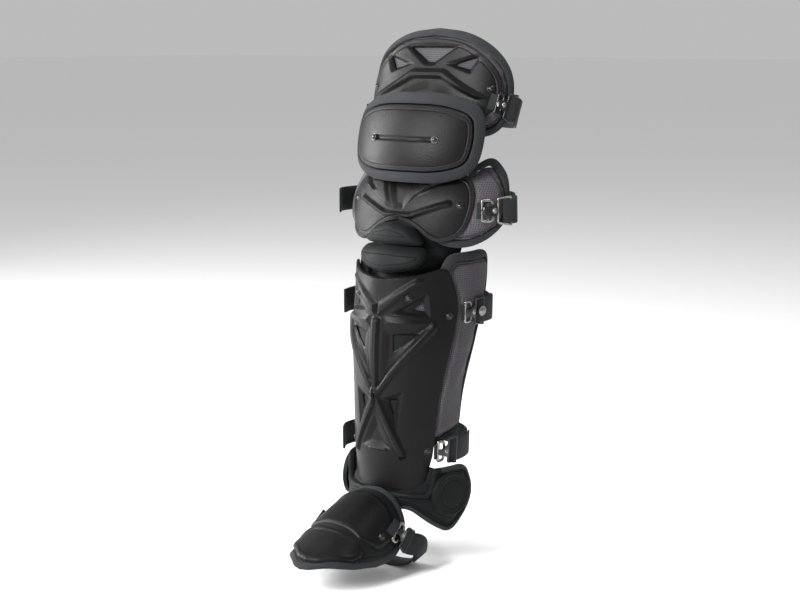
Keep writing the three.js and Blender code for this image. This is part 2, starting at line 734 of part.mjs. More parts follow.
// Straps: each is fixed at the left edge, runs round the back of the leg and comes forward
// on the right to the frame of a hook that is caught in a D ring. The way round is given as
// points from the hook past the right edge and the back of the leg to the fixed end.
const strapRows = [
  {
    name: 'thigh', limb: THIGH, across: 91, up: 226, lift: 5.5, roll: -0.3, turn: 0.3,
    width: STRAP_WIDTH, tab: 6, seat: 0.4, reach: 10, frame: 12, axis: [0, 0, 1],
    way: [[92, 70, 211], [75, 90, 209], [44, 111, 208], [0, 121, 208], [-46, 113, 208],
      [-79, 97, 208], [-100, 74, 207], [-104, 53, 206], [-97, 38.5, 206]],
  },
  {
    name: 'knee', limb: KNEE, across: 108, up: 109, lift: 0.6, roll: 0, turn: 0.08,
    width: STRAP_WIDTH, tab: 3.5, seat: -SHELL, reach: 17, frame: 17, axis: [0, 0, 1],
    way: [[99, 58, 109], [82, 82, 109], [44, 104, 109], [0, 112, 109], [-46, 104, 109],
      [-86, 80, 109], [-108, 40, 109], [-110, 6, 109], [-101, -8, 109]],
  },
  {
    name: 'upper_shin', limb: SHIN, across: 98, up: -6, lift: 0.6, roll: 0, turn: 0.08,
    width: STRAP_WIDTH, tab: 3.5, seat: -SHELL, reach: 13, frame: 15, axis: [0, 0, 1],
    way: [[75, 46, -6], [61, 62, -6], [36, 78, -6], [0, 84, -6], [-36, 78, -6], [-66, 60, -6],
      [-80, 32, -6], [-85, -6, -6], [-80, -26, -6]],
  },
  {
    name: 'lower_shin', limb: SHIN, across: 92, up: -164, lift: 0.6, roll: 0, turn: 0.08,
    width: STRAP_WIDTH, tab: 3.5, seat: -SHELL, reach: 12, frame: 14, axis: [0, 0, 1],
    way: [[62, 16, -164], [54, 32, -164], [34, 48, -164], [0, 56, -164], [-34, 50, -164],
      [-58, 32, -164], [-72, 2, -164], [-75, -30, -164], [-66, -46, -164]],
  },
  {
    name: 'foot', limb: FOOT, across: 39, up: -93, lift: 2, roll: 0.7, turn: 0.2,
    width: FOOT_STRAP_WIDTH, tab: 7, seat: 0, reach: 11, frame: 12, axis: [0, 1, 0],
    way: [[57, -62, -266], [51, -56, -280], [38, -54, -291], [18, -54, -295], [0, -54, -295],
      [-24, -55, -294], [-48, -64, -286], [-60, -88, -262], [-57, -104, -246]],
  },
];
const STRAP_STEPS = 19;
const FRAME_BAR = 2.4;
// Stations along a strap; its width lies as in the hook's frame at first and then on the axis
function strapStations(points, frameWide, axis) {
  const curve = new THREE.CatmullRomCurve3(points);
  return Array.from({ length: STRAP_STEPS + 1 }, (_, i) => {
    const along = curve.getTangentAt(i / STRAP_STEPS);
    const lean = frameWide.clone().lerp(new THREE.Vector3(...axis),
      THREE.MathUtils.smoothstep(i, 1, 6));
    const wide = lean.addScaledVector(along, -along.dot(lean)).normalize();
    return {
      middle: curve.getPointAt(i / STRAP_STEPS),
      wide,
      face: new THREE.Vector3().crossVectors(along, wide).normalize(),
    };
  });
}
const wireProfile = [[0, 0], [WIRE, WIRE], [2 * WIRE, 0], [WIRE, -WIRE]];
const barProfile = [[0, -1.1], [0, 1.1], [FRAME_BAR, 1.1], [FRAME_BAR, -1.1]];
strapRows.forEach((strap) => {
  const { name, width, reach, axis } = strap;
  const place = onLimb(strap.limb);
  const flat = onFlat(place, strap.across, strap.up, strap.lift, strap.roll, strap.turn);
  const wide = flat(0, 1, 0).sub(flat(0, 0, 0));
  const face = flat(0, 0, 1).sub(flat(0, 0, 0));
  const hookHigh = WIRE + 1.1 + CLEAR;
  const hookFlat = (u, v, w) => flat(u, v, w + hookHigh);
  const ringOutline = outlineOf([
    corner(0, -RING_HALF, 3), corner(reach, -RING_HALF, reach * 0.8),
    corner(reach, RING_HALF, reach * 0.8), corner(0, RING_HALF, 3),
  ], 60, 2);
  const frameFrom = reach + 1;
  const frameTo = frameFrom + strap.frame;
  const halfFrame = width / 2 + FRAME_BAR + 0.5;
  const frame = rim(hookFlat, outlineOf([corner(frameFrom, -halfFrame), corner(frameTo,
    -halfFrame), corner(frameTo, halfFrame), corner(frameFrom, halfFrame)], 90), barProfile);
  const tongue = patch(hookFlat, outlineOf([corner(5, -4), corner(frameFrom + 1.5, -8),
    corner(frameFrom + 1.5, 8), corner(5, 4)], 60, 2), {
    outer: () => 0.9, inner: () => -0.9, rings: [1],
  });
  const under = hookHigh - 1.1 - STRAP / 2 - 1.6 * CLEAR;
  const strapStart = [frameTo - 10, frameTo - 5, frameTo + 1].map((u) => flat(u, 0, under));
  const points = [...strapStart, ...strap.way.map((p) => new THREE.Vector3(...p))];
  put(`${name}_strap`, band(strapStations(points, wide, axis), width, STRAP), webbing);
  const back = [strap.across - strap.tab * Math.cos(strap.roll),
    strap.up - strap.tab * Math.sin(strap.roll)];
  const seat = strap.seat + STRAP / 2 + 2 * CLEAR - facetDrop(strap.limb, ...back);
  put(`${name}_tab`, band([place(...back, seat), flat(-CLEAR, 0, 0)].map((middle) => (
    { middle, wide, face })), 2 * RING_HALF - 8, STRAP), webbing);
  put(`${name}_d_ring`, rim(flat, ringOutline, wireProfile), nickel);
  put(`${name}_hook`, carved(frame, [tongue], []), blackMetal);
});

export default guard;
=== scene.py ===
import math
import bpy
import numpy as np
from bpy.props import FloatProperty, FloatVectorProperty
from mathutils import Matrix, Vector


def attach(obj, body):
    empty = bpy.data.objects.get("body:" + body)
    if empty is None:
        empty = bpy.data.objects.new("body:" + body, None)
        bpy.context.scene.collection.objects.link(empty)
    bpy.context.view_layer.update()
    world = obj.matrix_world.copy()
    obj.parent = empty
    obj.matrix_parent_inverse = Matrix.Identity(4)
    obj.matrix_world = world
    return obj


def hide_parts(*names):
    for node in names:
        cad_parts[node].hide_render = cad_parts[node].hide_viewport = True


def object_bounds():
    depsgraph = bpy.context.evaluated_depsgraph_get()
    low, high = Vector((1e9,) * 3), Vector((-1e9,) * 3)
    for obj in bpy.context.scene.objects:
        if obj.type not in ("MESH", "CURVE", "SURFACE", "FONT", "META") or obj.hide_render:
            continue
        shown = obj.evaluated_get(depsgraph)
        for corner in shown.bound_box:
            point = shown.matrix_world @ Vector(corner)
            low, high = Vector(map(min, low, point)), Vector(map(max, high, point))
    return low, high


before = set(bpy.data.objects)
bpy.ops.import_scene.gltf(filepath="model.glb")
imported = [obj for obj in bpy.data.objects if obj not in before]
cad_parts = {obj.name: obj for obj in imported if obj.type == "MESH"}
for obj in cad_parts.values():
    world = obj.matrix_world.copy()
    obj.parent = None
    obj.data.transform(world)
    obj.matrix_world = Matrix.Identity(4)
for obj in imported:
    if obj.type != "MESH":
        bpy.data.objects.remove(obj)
CAD_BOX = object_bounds()

bl_info = {
    "name": "Catcher's leg guard",
    "version": (1, 0, 0),
    "blender": (4, 5, 0),
    "location": "3D View > Sidebar > Leg Guard",
    "description": "Plates, pads, tape, straps and hardware of a catcher's leg guard",
    "category": "Object",
}

# Leg sections in millimetres. Columns: height, middle of the section, half width to the side,
# reach to the front, reach to the back, squareness.
LIMBS = {
    "thigh": {"girth": 92, "rows": [
        (182, 82, 102, 75, 78, 3), (205, 88, 103, 75, 78, 3),
        (255, 102, 105, 75, 72, 3), (312, 117, 102, 75, 66, 3)]},
    "cap": {"girth": 95, "rows": [
        (134, 56, 110, 80, 80, 2), (160, 54, 110, 81, 80, 2), (186, 57, 110, 80, 80, 2),
        (215, 67, 110, 80, 80, 2), (240, 84, 110, 80, 80, 2)]},
    "knee": {"girth": 90, "rows": [
        (60, 31, 104, 62, 72, 2), (90, 36, 107, 66, 74, 2), (120, 43, 108, 66, 74, 2),
        (150, 63, 106, 66, 74, 2), (170, 76, 104, 66, 74, 2)]},
    "flex": {"girth": 60, "rows": [
        (28, 8, 69, 65, 60, 2), (50, 7, 70, 61, 60, 2), (64, 9, 71, 57, 60, 2),
        (72, 10, 71, 57, 60, 2), (88, 16, 72, 60, 60, 2), (110, 22, 72, 60, 60, 2)]},
    "gusset": {"girth": 62, "rows": [
        (14, 25, 54.5, 69, 60, 2), (50, 29, 57, 67, 60, 2), (75, 34, 63, 57, 60, 2),
        (100, 38, 68, 45, 60, 2)]},
    "shin": {"girth": 76, "rows": [
        (-215, -14, 56, 51, 66, 2), (-165, -8, 60, 61, 62, 2.1), (-100, -3, 66, 66, 66, 2),
        (-40, 10, 73, 79, 72, 2), (18, 25, 77, 88, 74, 2), (66, 28, 78, 86, 72, 2)]},
    "ankle": {"girth": 66, "rows": [
        (-270, 15, 74, 76, 50, 2.5), (-208, 12, 75, 78, 50, 2.5),
        (-150, 8, 73, 75, 50, 2.5)]},
    # The foot's sections stand across it: the first column counts from the toe to the ankle
    # and the second is the height of the rim.
    "foot": {"girth": 44, "level": True, "rows": [
        (-202, -272, 38, 11, 12, 2.2), (-190, -274, 43, 17, 12, 2.2),
        (-162, -277, 48, 34, 12, 2.3), (-136, -278, 50, 50, 12, 2.4),
        (-92, -280, 52, 71, 12, 2.4), (-66, -281, 53, 80, 12, 2.4)]},
}

# Half outlines, right side from bottom to top. Columns: across, up, rounding.
HALVES = {
    "thigh_pad": [(0, 194, 0), (94, 186, 22), (114, 208, 14), (111, 252, 30), (88, 284, 34),
                  (50, 304, 30), (0, 308, 0)],
    "thigh_shell": [(0, 206, 0), (76, 208, 12), (97, 222, 12), (95, 250, 16), (80, 271, 18),
                    (50, 293, 30), (0, 297, 0)],
    "knee_cap_pad": [(0, 137, 0), (58, 137, 30), (98, 149, 30), (108, 185, 34),
                     (100, 222, 34), (56, 236, 40), (0, 237, 0)],
    "lower_knee_pad": [(0, 92, 0), (38, 84, 10), (76, 66, 22), (112, 68, 26), (149, 98, 24),
                       (141, 128, 14), (126, 150, 14), (104, 168, 12), (84, 153, 16),
                       (0, 149, 0)],
    "lower_knee_shell": [(0, 96, 0), (28, 91, 14), (66, 70, 18), (94, 80, 16), (104, 120, 20),
                         (88, 147, 16), (0, 147, 0)],
    "flex_upper": [(0, 69.5, 0), (44, 69.5, 6), (43, 75, 6), (24, 90.4, 10), (0, 94.9, 0)],
    "flex_lower": [(0, 37, 0), (38, 43, 12), (50, 54, 8), (48, 67, 10), (0, 68.7, 0)],
    "flex_panel": [(0, 20, 0), (82, 24, 0), (80, 88, 16), (40, 90, 10), (0, 90, 0)],
    "shin_pad": [(0, -196, 0), (66, -190, 10), (88, -158, 20), (160, -148, 18), (146, 61, 16),
                 (76, 60, 12), (62, 34, 16), (0, 25, 0)],
    "shin_shell": [(0, -209, 0), (60, -208, 10), (79, -202, 10), (87, -170, 0), (93, -10, 30),
                   (82, 24, 20), (70, 47, 8), (40, 38, 14), (0, 33, 0)],
    "ankle_pad": [(0, -229, 0), (34, -229, 6), (56, -249, 10), (73, -260, 14),
                  (101, -231, 14), (108, -210, 14), (98, -181, 10), (57, -181, 5),
                  (52, -209.6, 4), (0, -209.6, 0)],
    "foot_pad": [(0, -200, 0), (34, -197, 10), (60, -170, 18), (67, -126, 0), (66, -92, 22),
                 (40, -68, 12), (0, -66.8, 0)],
    "instep_plate": [(0, -140, 0), (34, -140, 0), (50, -124, 6), (46, -98, 10), (24, -88, 8),
                     (0, -86, 0)],
    "toe_plate": [(0, -190, 0), (30, -187, 4), (52, -164, 8), (50, -145, 6), (0, -145, 0)],
}

PLATE = 3.0             # thickness of the moulded plates
CLEAR = 0.3             # gap between neighbouring pieces
TAPE = 8.0              # visible width of the edge tape
CAP_TAPE = 12.0         # the same round the knee cap
CAP_EDGE = 1.6          # bare pad between the knee cap's tape and its plate
PLATE_STEP = 1.05       # grid spacing of a moulded plate
PLATE_SINK = 3.6        # most that a relief sinks a plate's face
PAD_STEP = 4.5          # voxel of a padded form before it swells
SWELL = 5.0             # most that a pad's skin moves when it swells
LINING_SWELL = 0.35     # the lining's share of the swelling
PRESSED = 2.2           # how far a plate presses down the pad under it
CREASE = 0.6            # height of the creases beside a plate
WIRE = 1.7              # radius of the ring wire
RING_HALF = 13.0        # half height of a D ring
STRAP = 2.4             # thickness of the webbing
FRAME_BAR = 2.4         # bar of the buckle frames
FRAME_SEAT = 1.1        # height of a frame's middle over the top of the ring wire
TURNED_BACK = 46.0      # stretch of a strap along which its end is turned back
TWIST_FROM = 1 / 19     # share of a strap's length at which it begins to turn to its axis
TWIST_OVER = 5 / 19     # share of its length over which it turns
STITCH_HALF = 0.55      # half the width of a stitched row
THREAD_SHARE = 0.7      # share of a stitch's length that is thread
DISC_RADIUS = 25.4      # round disc on an ankle wing


class LEGGUARD_PG_sizes(bpy.types.PropertyGroup):
    """Pattern sizes that a user may change"""
    mesh_pitch: FloatProperty(name="Mesh hole spacing", description="Between knit holes",
                              default=0.0024, unit="LENGTH")
    webbing_pitch: FloatProperty(name="Webbing pick", description="Between weft ribs",
                                 default=0.0018, unit="LENGTH")
    stitch: FloatProperty(name="Stitch length", description="From one stitch to the next",
                          default=0.0055, unit="LENGTH")
    grain: FloatProperty(name="Plate grain", description="Size of the moulded pebble",
                         default=0.0009, unit="LENGTH")


def to_linear(code):
    """sRGB hex colour to the linear values that a shader takes"""
    parts = [int(code[i:i + 2], 16) / 255 for i in (1, 3, 5)]
    return tuple(p / 12.92 if p <= 0.04045 else ((p + 0.055) / 1.055) ** 2.4 for p in parts)


def colour_property(name, description, code):
    """A colour that the panel shows, with an sRGB hex code as its default"""
    return FloatVectorProperty(name=name, description=description, default=to_linear(code),
                               subtype="COLOR", size=3, min=0, max=1)


class LEGGUARD_PG_colours(bpy.types.PropertyGroup):
    """Colours that a user may change"""
    plate: colour_property("Plate", "Moulded plates", "#0a090a")
    mesh: colour_property("Mesh", "Knitted mesh of the pads", "#514e53")
    tape: colour_property("Edge tape", "Woven tape on the edges", "#343537")
    soft: colour_property("Soft panels", "Coated black fabric", "#101112")
    lining: colour_property("Lining", "Brushed cloth towards the leg", "#2c2d2f")
    webbing: colour_property("Webbing", "Elastic straps", "#2a2c2e")
    steel: colour_property("Nickel", "Nickel-plated wire", "#8f8e8c")
    coated: colour_property("Coated steel", "Black hooks and rivets", "#101012")


# Points on the leg

def blended(ups, values, up):
    """Table values between its rows: a cubic through the rows whose slope at each row is that
    of its neighbours, and a straight line past the ends."""
    slopes = np.gradient(values, ups)
    i = np.clip(np.searchsorted(ups, up) - 1, 0, len(ups) - 2)
    span = ups[i + 1] - ups[i]
    t = (up - ups[i]) / span
    s = np.clip(t, 0, 1)
    cubic = ((2 * s ** 3 - 3 * s ** 2 + 1) * values[i]
             + (s ** 3 - 2 * s ** 2 + s) * span * slopes[i]
             + (3 * s ** 2 - 2 * s ** 3) * values[i + 1]
             + (s ** 3 - s ** 2) * span * slopes[i + 1])
    past = np.where(t > 1, slopes[i + 1] * (t - 1) * span, np.where(t < 0, slopes[i] * t * span, 0))
    return cubic + past


def section(limb, up):
    """Middle, half width, reach to the front and to the back, and squareness at a height"""
    table = np.array(LIMBS[limb]["rows"], float)
    return [blended(table[:, 0], table[:, k], np.asarray(up, float)) for k in range(1, 6)]


def limb_point(limb, across, up, lift=0.0):
    """Points at across, up, lift: the direction turns by across over the girth, the radius is
    that of a superellipse, and the lift goes along its outward normal."""
    across, up, lift = np.broadcast_arrays(*(np.asarray(v, float) for v in (across, up, lift)))
    middle, half, front, back, power = section(limb, up)
    turn = across / LIMBS[limb]["girth"]
    side, ahead = np.sin(turn), np.cos(turn)
    reach = np.where(ahead >= 0, front, back)
    size = (np.abs(side) / half) ** power + (np.abs(ahead) / reach) ** power
    radius = size ** (-1 / power)
    x, f = side * radius, ahead * radius
    nx = np.sign(x) * (np.abs(x) / half) ** (power - 1) / half
    nf = np.sign(f) * (np.abs(f) / reach) ** (power - 1) / reach
    scale = lift / np.hypot(nx, nf)
    x, f = x + nx * scale, f + nf * scale
    if LIMBS[limb].get("level"):
        return np.stack([x, up, middle + f], -1)
    return np.stack([x, middle - f, up], -1)


def on_limb(limb, places, lift=0.0):
    """Points at pairs of across and up"""
    return limb_point(limb, places[:, 0], places[:, 1], lift)


def limb_place(limb, points):
    """Across and up of points near a limb: the angle round its middle times the girth"""
    if LIMBS[limb].get("level"):
        up = points[:, 1]
        ahead = points[:, 2] - section(limb, up)[0]
    else:
        up = points[:, 2]
        ahead = section(limb, up)[0] - points[:, 1]
    across = np.arctan2(points[:, 0], ahead) * LIMBS[limb]["girth"]
    return np.stack([across, up], -1)


def flat_place(limb, across, up, lift, roll=0.0, turn=0.0):
    """A plane that touches the limb at one spot: returns a function of right, upward and
    outward millimetres. It may be rolled in itself or its right end turned in."""
    step = 2.0
    near = limb_point(limb, [across, across, across, across + step, across - step],
                      [up, up + step, up - step, up, up], lift)
    origin = near[0]
    ay = near[1] - near[2]
    ay /= np.linalg.norm(ay)
    ax = near[3] - near[4]
    ax /= np.linalg.norm(ax)
    ax = (ax * math.cos(turn) + np.cross(ay, ax) * math.sin(turn)
          + ay * ay.dot(ax) * (1 - math.cos(turn)))
    az = np.cross(ax, ay)
    az /= np.linalg.norm(az)
    by = np.cross(az, ax)
    right = ax * math.cos(roll) + by * math.sin(roll)
    upward = by * math.cos(roll) - ax * math.sin(roll)

    def place(u, v, w=0.0):
        u, v, w = np.broadcast_arrays(*(np.asarray(k, float) for k in (u, v, w)))
        return origin + u[..., None] * right + v[..., None] * upward + w[..., None] * az
    return place


# Outlines

def outline_of(corners, longest=3.0):
    """Closed outline whose corners are rounded by quadratic curves, evenly divided"""
    points = []
    count = len(corners)
    at = np.array([c[:2] for c in corners], float)
    for i, (_, _, rounding) in enumerate(corners):
        here = at[i]
        before = at[i - 1] - here
        after = at[(i + 1) % count] - here
        if rounding <= 0:
            points.append(here[None])
            continue
        long_before, long_after = np.linalg.norm(before), np.linalg.norm(after)
        start = here + before / long_before * min(rounding, long_before * 0.48)
        end = here + after / long_after * min(rounding, long_after * 0.48)
        t = np.linspace(0, 1, 9)[:, None]
        points.append((1 - t) ** 2 * start + 2 * t * (1 - t) * here + t * t * end)
    return evenly(np.concatenate(points), longest)


def evenly(loop, longest):
    """A closed loop of points divided into equal steps no longer than the given length"""
    closed = np.vstack([loop, loop[:1]])
    along = np.concatenate([[0], np.cumsum(np.linalg.norm(np.diff(closed, axis=0), axis=1))])
    count = max(8, math.ceil(along[-1] / longest))
    at = np.arange(count) * along[-1] / count
    return np.stack([np.interp(at, along, closed[:, k]) for k in range(loop.shape[1])], -1)


def both_sides(half):
    """The right half of an outline, from bottom to top, with its mirror image"""
    return half + [(-a, u, r) for a, u, r in reversed(half) if abs(a) > 1e-6]


def inset(outline, distance):
    """An outline moved inward along the mean normal of its neighbouring edges"""
    ahead = np.roll(outline, -1, 0) - np.roll(outline, 1, 0)
    normal = np.stack([-ahead[:, 1], ahead[:, 0]], -1)
    normal /= np.linalg.norm(normal, axis=1)[:, None]
    return outline + normal * distance


def outline_named(name):
    """A piece's whole outline; the knee cap's plate keeps an even distance to its pad's edge"""
    if name == "knee_cap_shell":
        return inset(outline_of(both_sides(HALVES["knee_cap_pad"])), CAP_TAPE + CAP_EDGE)
    return outline_of(both_sides(HALVES[name]))


def nearest(points, outline):
    """For each point: its depth inside the outline, negative outside, the nearest point on the
    outline and how far along the outline that lies. The inside is told by edge crossings."""
    start, end = outline, np.roll(outline, -1, 0)
    edge = end - start
    length = np.linalg.norm(edge, axis=1)
    begun = np.concatenate([[0], np.cumsum(length)[:-1]])
    depth, spot, along = [], [], []
    for part in np.array_split(points, max(1, len(points) // 8000)):
        to = part[:, None, :] - start[None]
        share = np.clip((to * edge).sum(-1) / length ** 2, 0, 1)
        foot = start[None] + share[..., None] * edge
        away = np.linalg.norm(part[:, None, :] - foot, axis=-1)
        best = away.argmin(1)
        pick = np.arange(len(part))
        rises = (start[:, 1] > part[:, 1:2]) != (end[:, 1] > part[:, 1:2])
        height = np.where(edge[:, 1] == 0, 1e-9, edge[:, 1])
        crossing = start[:, 0] + (part[:, 1:2] - start[:, 1]) / height * edge[:, 0]
        inside = (rises & (part[:, 0:1] < crossing)).sum(1) % 2 == 1
        depth.append(np.where(inside, away[pick, best], -away[pick, best]))
        spot.append(foot[pick, best])
        along.append(begun[best] + share[pick, best] * length[best])
    return np.concatenate(depth), np.concatenate(spot), np.concatenate(along)


# Meshes

def trimmed_grid(outline, holes, step):
    """Even grid inside an outline and outside its holes. Squares are kept by their middles,
    the rim's points move to the nearest point on the outline, and the others are then drawn
    to the mean of their neighbours twice."""
    low, high = outline.min(0) - step, outline.max(0) + step
    xs = np.arange(low[0], high[0] + step, step)
    ys = np.arange(low[1], high[1] + step, step)
    xs += (xs[0] + xs[-1]) / -2 if abs(low[0] + high[0]) < 1e-3 else 0
    wide = len(xs)
    points = np.stack(np.meshgrid(xs, ys), -1).reshape(-1, 2)
    u, v = np.meshgrid(np.arange(wide - 1), np.arange(len(ys) - 1))
    first = (v * wide + u).ravel()
    quads = np.stack([first, first + 1, first + wide + 1, first + wide], -1)
    middles = points[quads].mean(1)
    keep = nearest(middles, outline)[0] > 0
    for hole in holes:
        keep &= nearest(middles, hole)[0] < 0
    quads = quads[keep]
    edges = rim_edges(quads)
    on_rim = np.unique(edges)
    spot = nearest(points[on_rim], outline)
    reach, place = np.abs(spot[0]), spot[1]
    for hole in holes:
        other = nearest(points[on_rim], hole)
        closer = np.abs(other[0]) < reach
        reach = np.where(closer, np.abs(other[0]), reach)
        place = np.where(closer[:, None], other[1], place)
    points[on_rim] = place
    used = np.unique(quads)
    inner = np.setdiff1d(used, on_rim)
    for _ in range(2):
        around = points[inner + 1] + points[inner - 1] + points[inner + wide] + points[inner - wide]
        points[inner] = around / 4
    renumber = np.full(len(points), -1)
    renumber[used] = np.arange(len(used))
    return points[used], renumber[quads]


def rim_edges(quads):
    """Edges that only one face uses, in that face's order"""
    edges = np.concatenate([quads[:, [k, (k + 1) % 4]] for k in range(4)])
    order = np.sort(edges, axis=1)
    _, index, counts = np.unique(order, axis=0, return_index=True, return_counts=True)
    return edges[index[counts == 1]]


def closed_slab(points, quads, outer, inner):
    """Outer and inner faces over one grid, with a wall along every rim"""
    count = len(points)
    edges = rim_edges(quads)
    walls = np.stack([edges[:, 1], edges[:, 0], edges[:, 0] + count, edges[:, 1] + count], -1)
    faces = np.concatenate([quads, quads[:, ::-1] + count, walls])
    return np.concatenate([outer, inner]), faces


def swept(grid, closed):
    """Quads over a grid of rows along a path and points round it, and for each corner the
    number of its row and of its point"""
    rows, around = grid.shape[:2]
    last = rows if closed else rows - 1
    i, k = np.meshgrid(np.arange(last), np.arange(around), indexing="ij")
    n, m = (i + 1) % rows, (k + 1) % around
    faces = np.stack([i * around + k, i * around + m, n * around + m, n * around + k], -1)
    uv = np.stack([i, k, i, k + 1, i + 1, k + 1, i + 1, k], -1).reshape(-1, 2)
    return faces.reshape(-1, 4), uv.astype(float)


def mesh_piece(name, points, faces, materials, stands_for, ends=()):
    """A smooth-shaded mesh from millimetre points and quads, dressed and riding on the frame"""
    mesh = bpy.data.meshes.new(name)
    mesh.from_pydata(points * 0.001, [], faces.tolist() + [list(e) for e in ends])
    mesh.validate()
    mesh.polygons.foreach_set("use_smooth", np.ones(len(mesh.polygons), bool))
    for material in materials:
        mesh.materials.append(material)
    piece = bpy.data.objects.new(name, mesh)
    bpy.context.scene.collection.objects.link(piece)
    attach(piece, "root")
    if stands_for:
        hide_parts(*stands_for)
    return piece


def set_uv(mesh, values):
    """The surface map, one pair of values for each corner of each face"""
    layer = mesh.uv_layers.new(name="surface")
    layer.data.foreach_set("uv", np.ascontiguousarray(values, np.float32).ravel())


def corner_points(mesh):
    """The number of the point at each corner of each face"""
    index = np.empty(len(mesh.loops), np.int32)
    mesh.loops.foreach_get("vertex_index", index)
    return index


def set_attribute(mesh, name, values):
    """A named number for each point"""
    attribute = mesh.attributes.new(name, "FLOAT", "POINT")
    attribute.data.foreach_set("value", np.ascontiguousarray(values, np.float32))


def coordinates(mesh):
    """The points of a mesh in metres"""
    found = np.empty(len(mesh.vertices) * 3, np.float32)
    mesh.vertices.foreach_get("co", found)
    return found.reshape(-1, 3).astype(float)


def mark_surface(mesh, limb, outline):
    """Gives a piece on a limb its surface map in metres and, in millimetres, the distance to
    its outline and the length along it, for weave and stitching."""
    place = limb_place(limb, coordinates(mesh) * 1000)
    set_uv(mesh, place[corner_points(mesh)] * 0.001)
    depth, _, along = nearest(place, outline)
    set_attribute(mesh, "edge_mm", depth)
    set_attribute(mesh, "along_mm", along)


# Materials

def feed(tree, node, links):
    """Fills a node's inputs; each link is a socket, a node's first output or a value"""
    for key, value in links.items():
        if isinstance(value, bpy.types.Node):
            value = value.outputs[0]
        if isinstance(value, bpy.types.NodeSocket):
            tree.links.new(value, node.inputs[key])
        else:
            node.inputs[key].default_value = value


def add_node(tree, kind, links=None, **settings):
    """One node with its settings and its inputs"""
    node = tree.nodes.new(kind)
    for key, value in settings.items():
        setattr(node, key, value)
    feed(tree, node, links or {})
    return node


def reckon(tree, operation, *values):
    """A sum on one to three values"""
    return add_node(tree, "ShaderNodeMath", dict(enumerate(values)), operation=operation)


def blend(tree, share, low, high):
    """A colour between two others"""
    node = add_node(tree, "ShaderNodeMix", {0: share, 6: low, 7: high}, data_type="RGBA")
    return node.outputs[2]


def ramp(tree, value, low, high, first, last):
    """First at low, last at high, even between them and level beyond"""
    return add_node(tree, "ShaderNodeMapRange", {0: value, 1: low, 2: high, 3: first, 4: last})


def cloudy(tree, place, scale, detail):
    """Soft patches, for wear and soil"""
    return add_node(tree, "ShaderNodeTexNoise", {"Vector": place, "Scale": scale,
                                                 "Detail": detail})


def relief(tree, height, strength, depth, **under):
    """Fine relief from a height, its depth in metres, over another one where that is named"""
    return add_node(tree, "ShaderNodeBump", {"Height": height, "Strength": strength,
                                             "Distance": depth, **under})


def carried(tree, name):
    """A number that the piece carries at its points"""
    return add_node(tree, "ShaderNodeAttribute", attribute_name=name).outputs["Fac"]


def new_material(name):
    """A material with its node tree and its surface shader"""
    material = bpy.data.materials.new(name)
    material.use_nodes = True
    tree = material.node_tree
    return material, tree, tree.nodes["Principled BSDF"]


def surface_millimetres(tree):
    """The piece's surface map, counted in millimetres"""
    uv = add_node(tree, "ShaderNodeUVMap", uv_map="surface")
    return add_node(tree, "ShaderNodeVectorMath", {0: uv, 1: (1000, 1000, 1000)},
                    operation="MULTIPLY")


def off_line(tree, distance, at):
    """How far a distance is from that of a line"""
    return reckon(tree, "ABSOLUTE", reckon(tree, "SUBTRACT", distance, at))


def stitch_row(tree, distance, along, at, pitch):
    """1 on the thread of a stitched row and 0 beside it and between its stitches"""
    on_line = reckon(tree, "LESS_THAN", off_line(tree, distance, at), STITCH_HALF)
    turn = reckon(tree, "FRACT", reckon(tree, "MULTIPLY", along, 1 / pitch))
    return reckon(tree, "MULTIPLY", on_line, reckon(tree, "LESS_THAN", turn, THREAD_SHARE))


def groove(tree, distance, at, half):
    """1 in the middle of a seam line, falling to 0 at half its width"""
    return ramp(tree, off_line(tree, distance, at), 0.0, half, 1.0, 0.0)


def shade(colour, factor):
    """A colour made lighter or darker by a factor, with its alpha"""
    return tuple(min(1.0, c * factor) for c in colour) + (1,)


def moulded_plate(colours, sizes, stitched):
    """High-density polyethylene, injection moulded with a fine pebble grain: a satin black
    with broad soft highlights. Its rolled rim is painted lighter in patches, a painted highlight.
    The stitched kind has a flat edge that is sewn on, also painted lighter as a highlight."""
    name = "moulded_polyethylene_stitched" if stitched else "moulded_polyethylene"
    material, tree, shader = new_material(name)
    place = add_node(tree, "ShaderNodeTexCoord").outputs["Object"]
    pebble = add_node(tree, "ShaderNodeTexVoronoi", {"Vector": place, "Scale": 1 / sizes.grain},
                      feature="SMOOTH_F1")
    cloud = cloudy(tree, place, 28.0, 4.0)
    edge = carried(tree, "edge_mm")
    # Painted highlight: the rolled rim of the plate is lighter, in patches
    rim_highlight = reckon(tree, "MULTIPLY", ramp(tree, edge, 0.0, 1.6, 0.7, 0.0), cloud)
    tone = blend(tree, cloud, shade(colours.plate, 0.85), shade(colours.plate, 1.35))
    tone = blend(tree, rim_highlight, tone, shade(colours.plate, 3.4))
    bump = relief(tree, pebble, 0.55, 0.0004)
    if stitched:
        thread = stitch_row(tree, edge, carried(tree, "along_mm"), 3.0, sizes.stitch * 1000)
        line = groove(tree, edge, 5.2, 0.9)
        bump = relief(tree, reckon(tree, "SUBTRACT", thread, line), 1.0, 0.0006, Normal=bump)
        # Painted highlight: the flat sewn edge is lighter than the face, while the thread and its groove
        # stay dark
        band = ramp(tree, edge, 4.6, 5.2, 1.0, 0.0)
        tone = blend(tree, band, tone, shade(colours.plate, 5.0))
        dark = reckon(tree, "MAXIMUM", line, thread)
        tone = blend(tree, dark, tone, (0.003, 0.003, 0.003, 1))
    rough = ramp(tree, cloud, 0.3, 0.7, 0.34, 0.44)
    feed(tree, shader, {"Base Color": tone, "Roughness": rough, "Normal": bump, "IOR": 1.53,
                        "Specular IOR Level": 0.15})
    return material


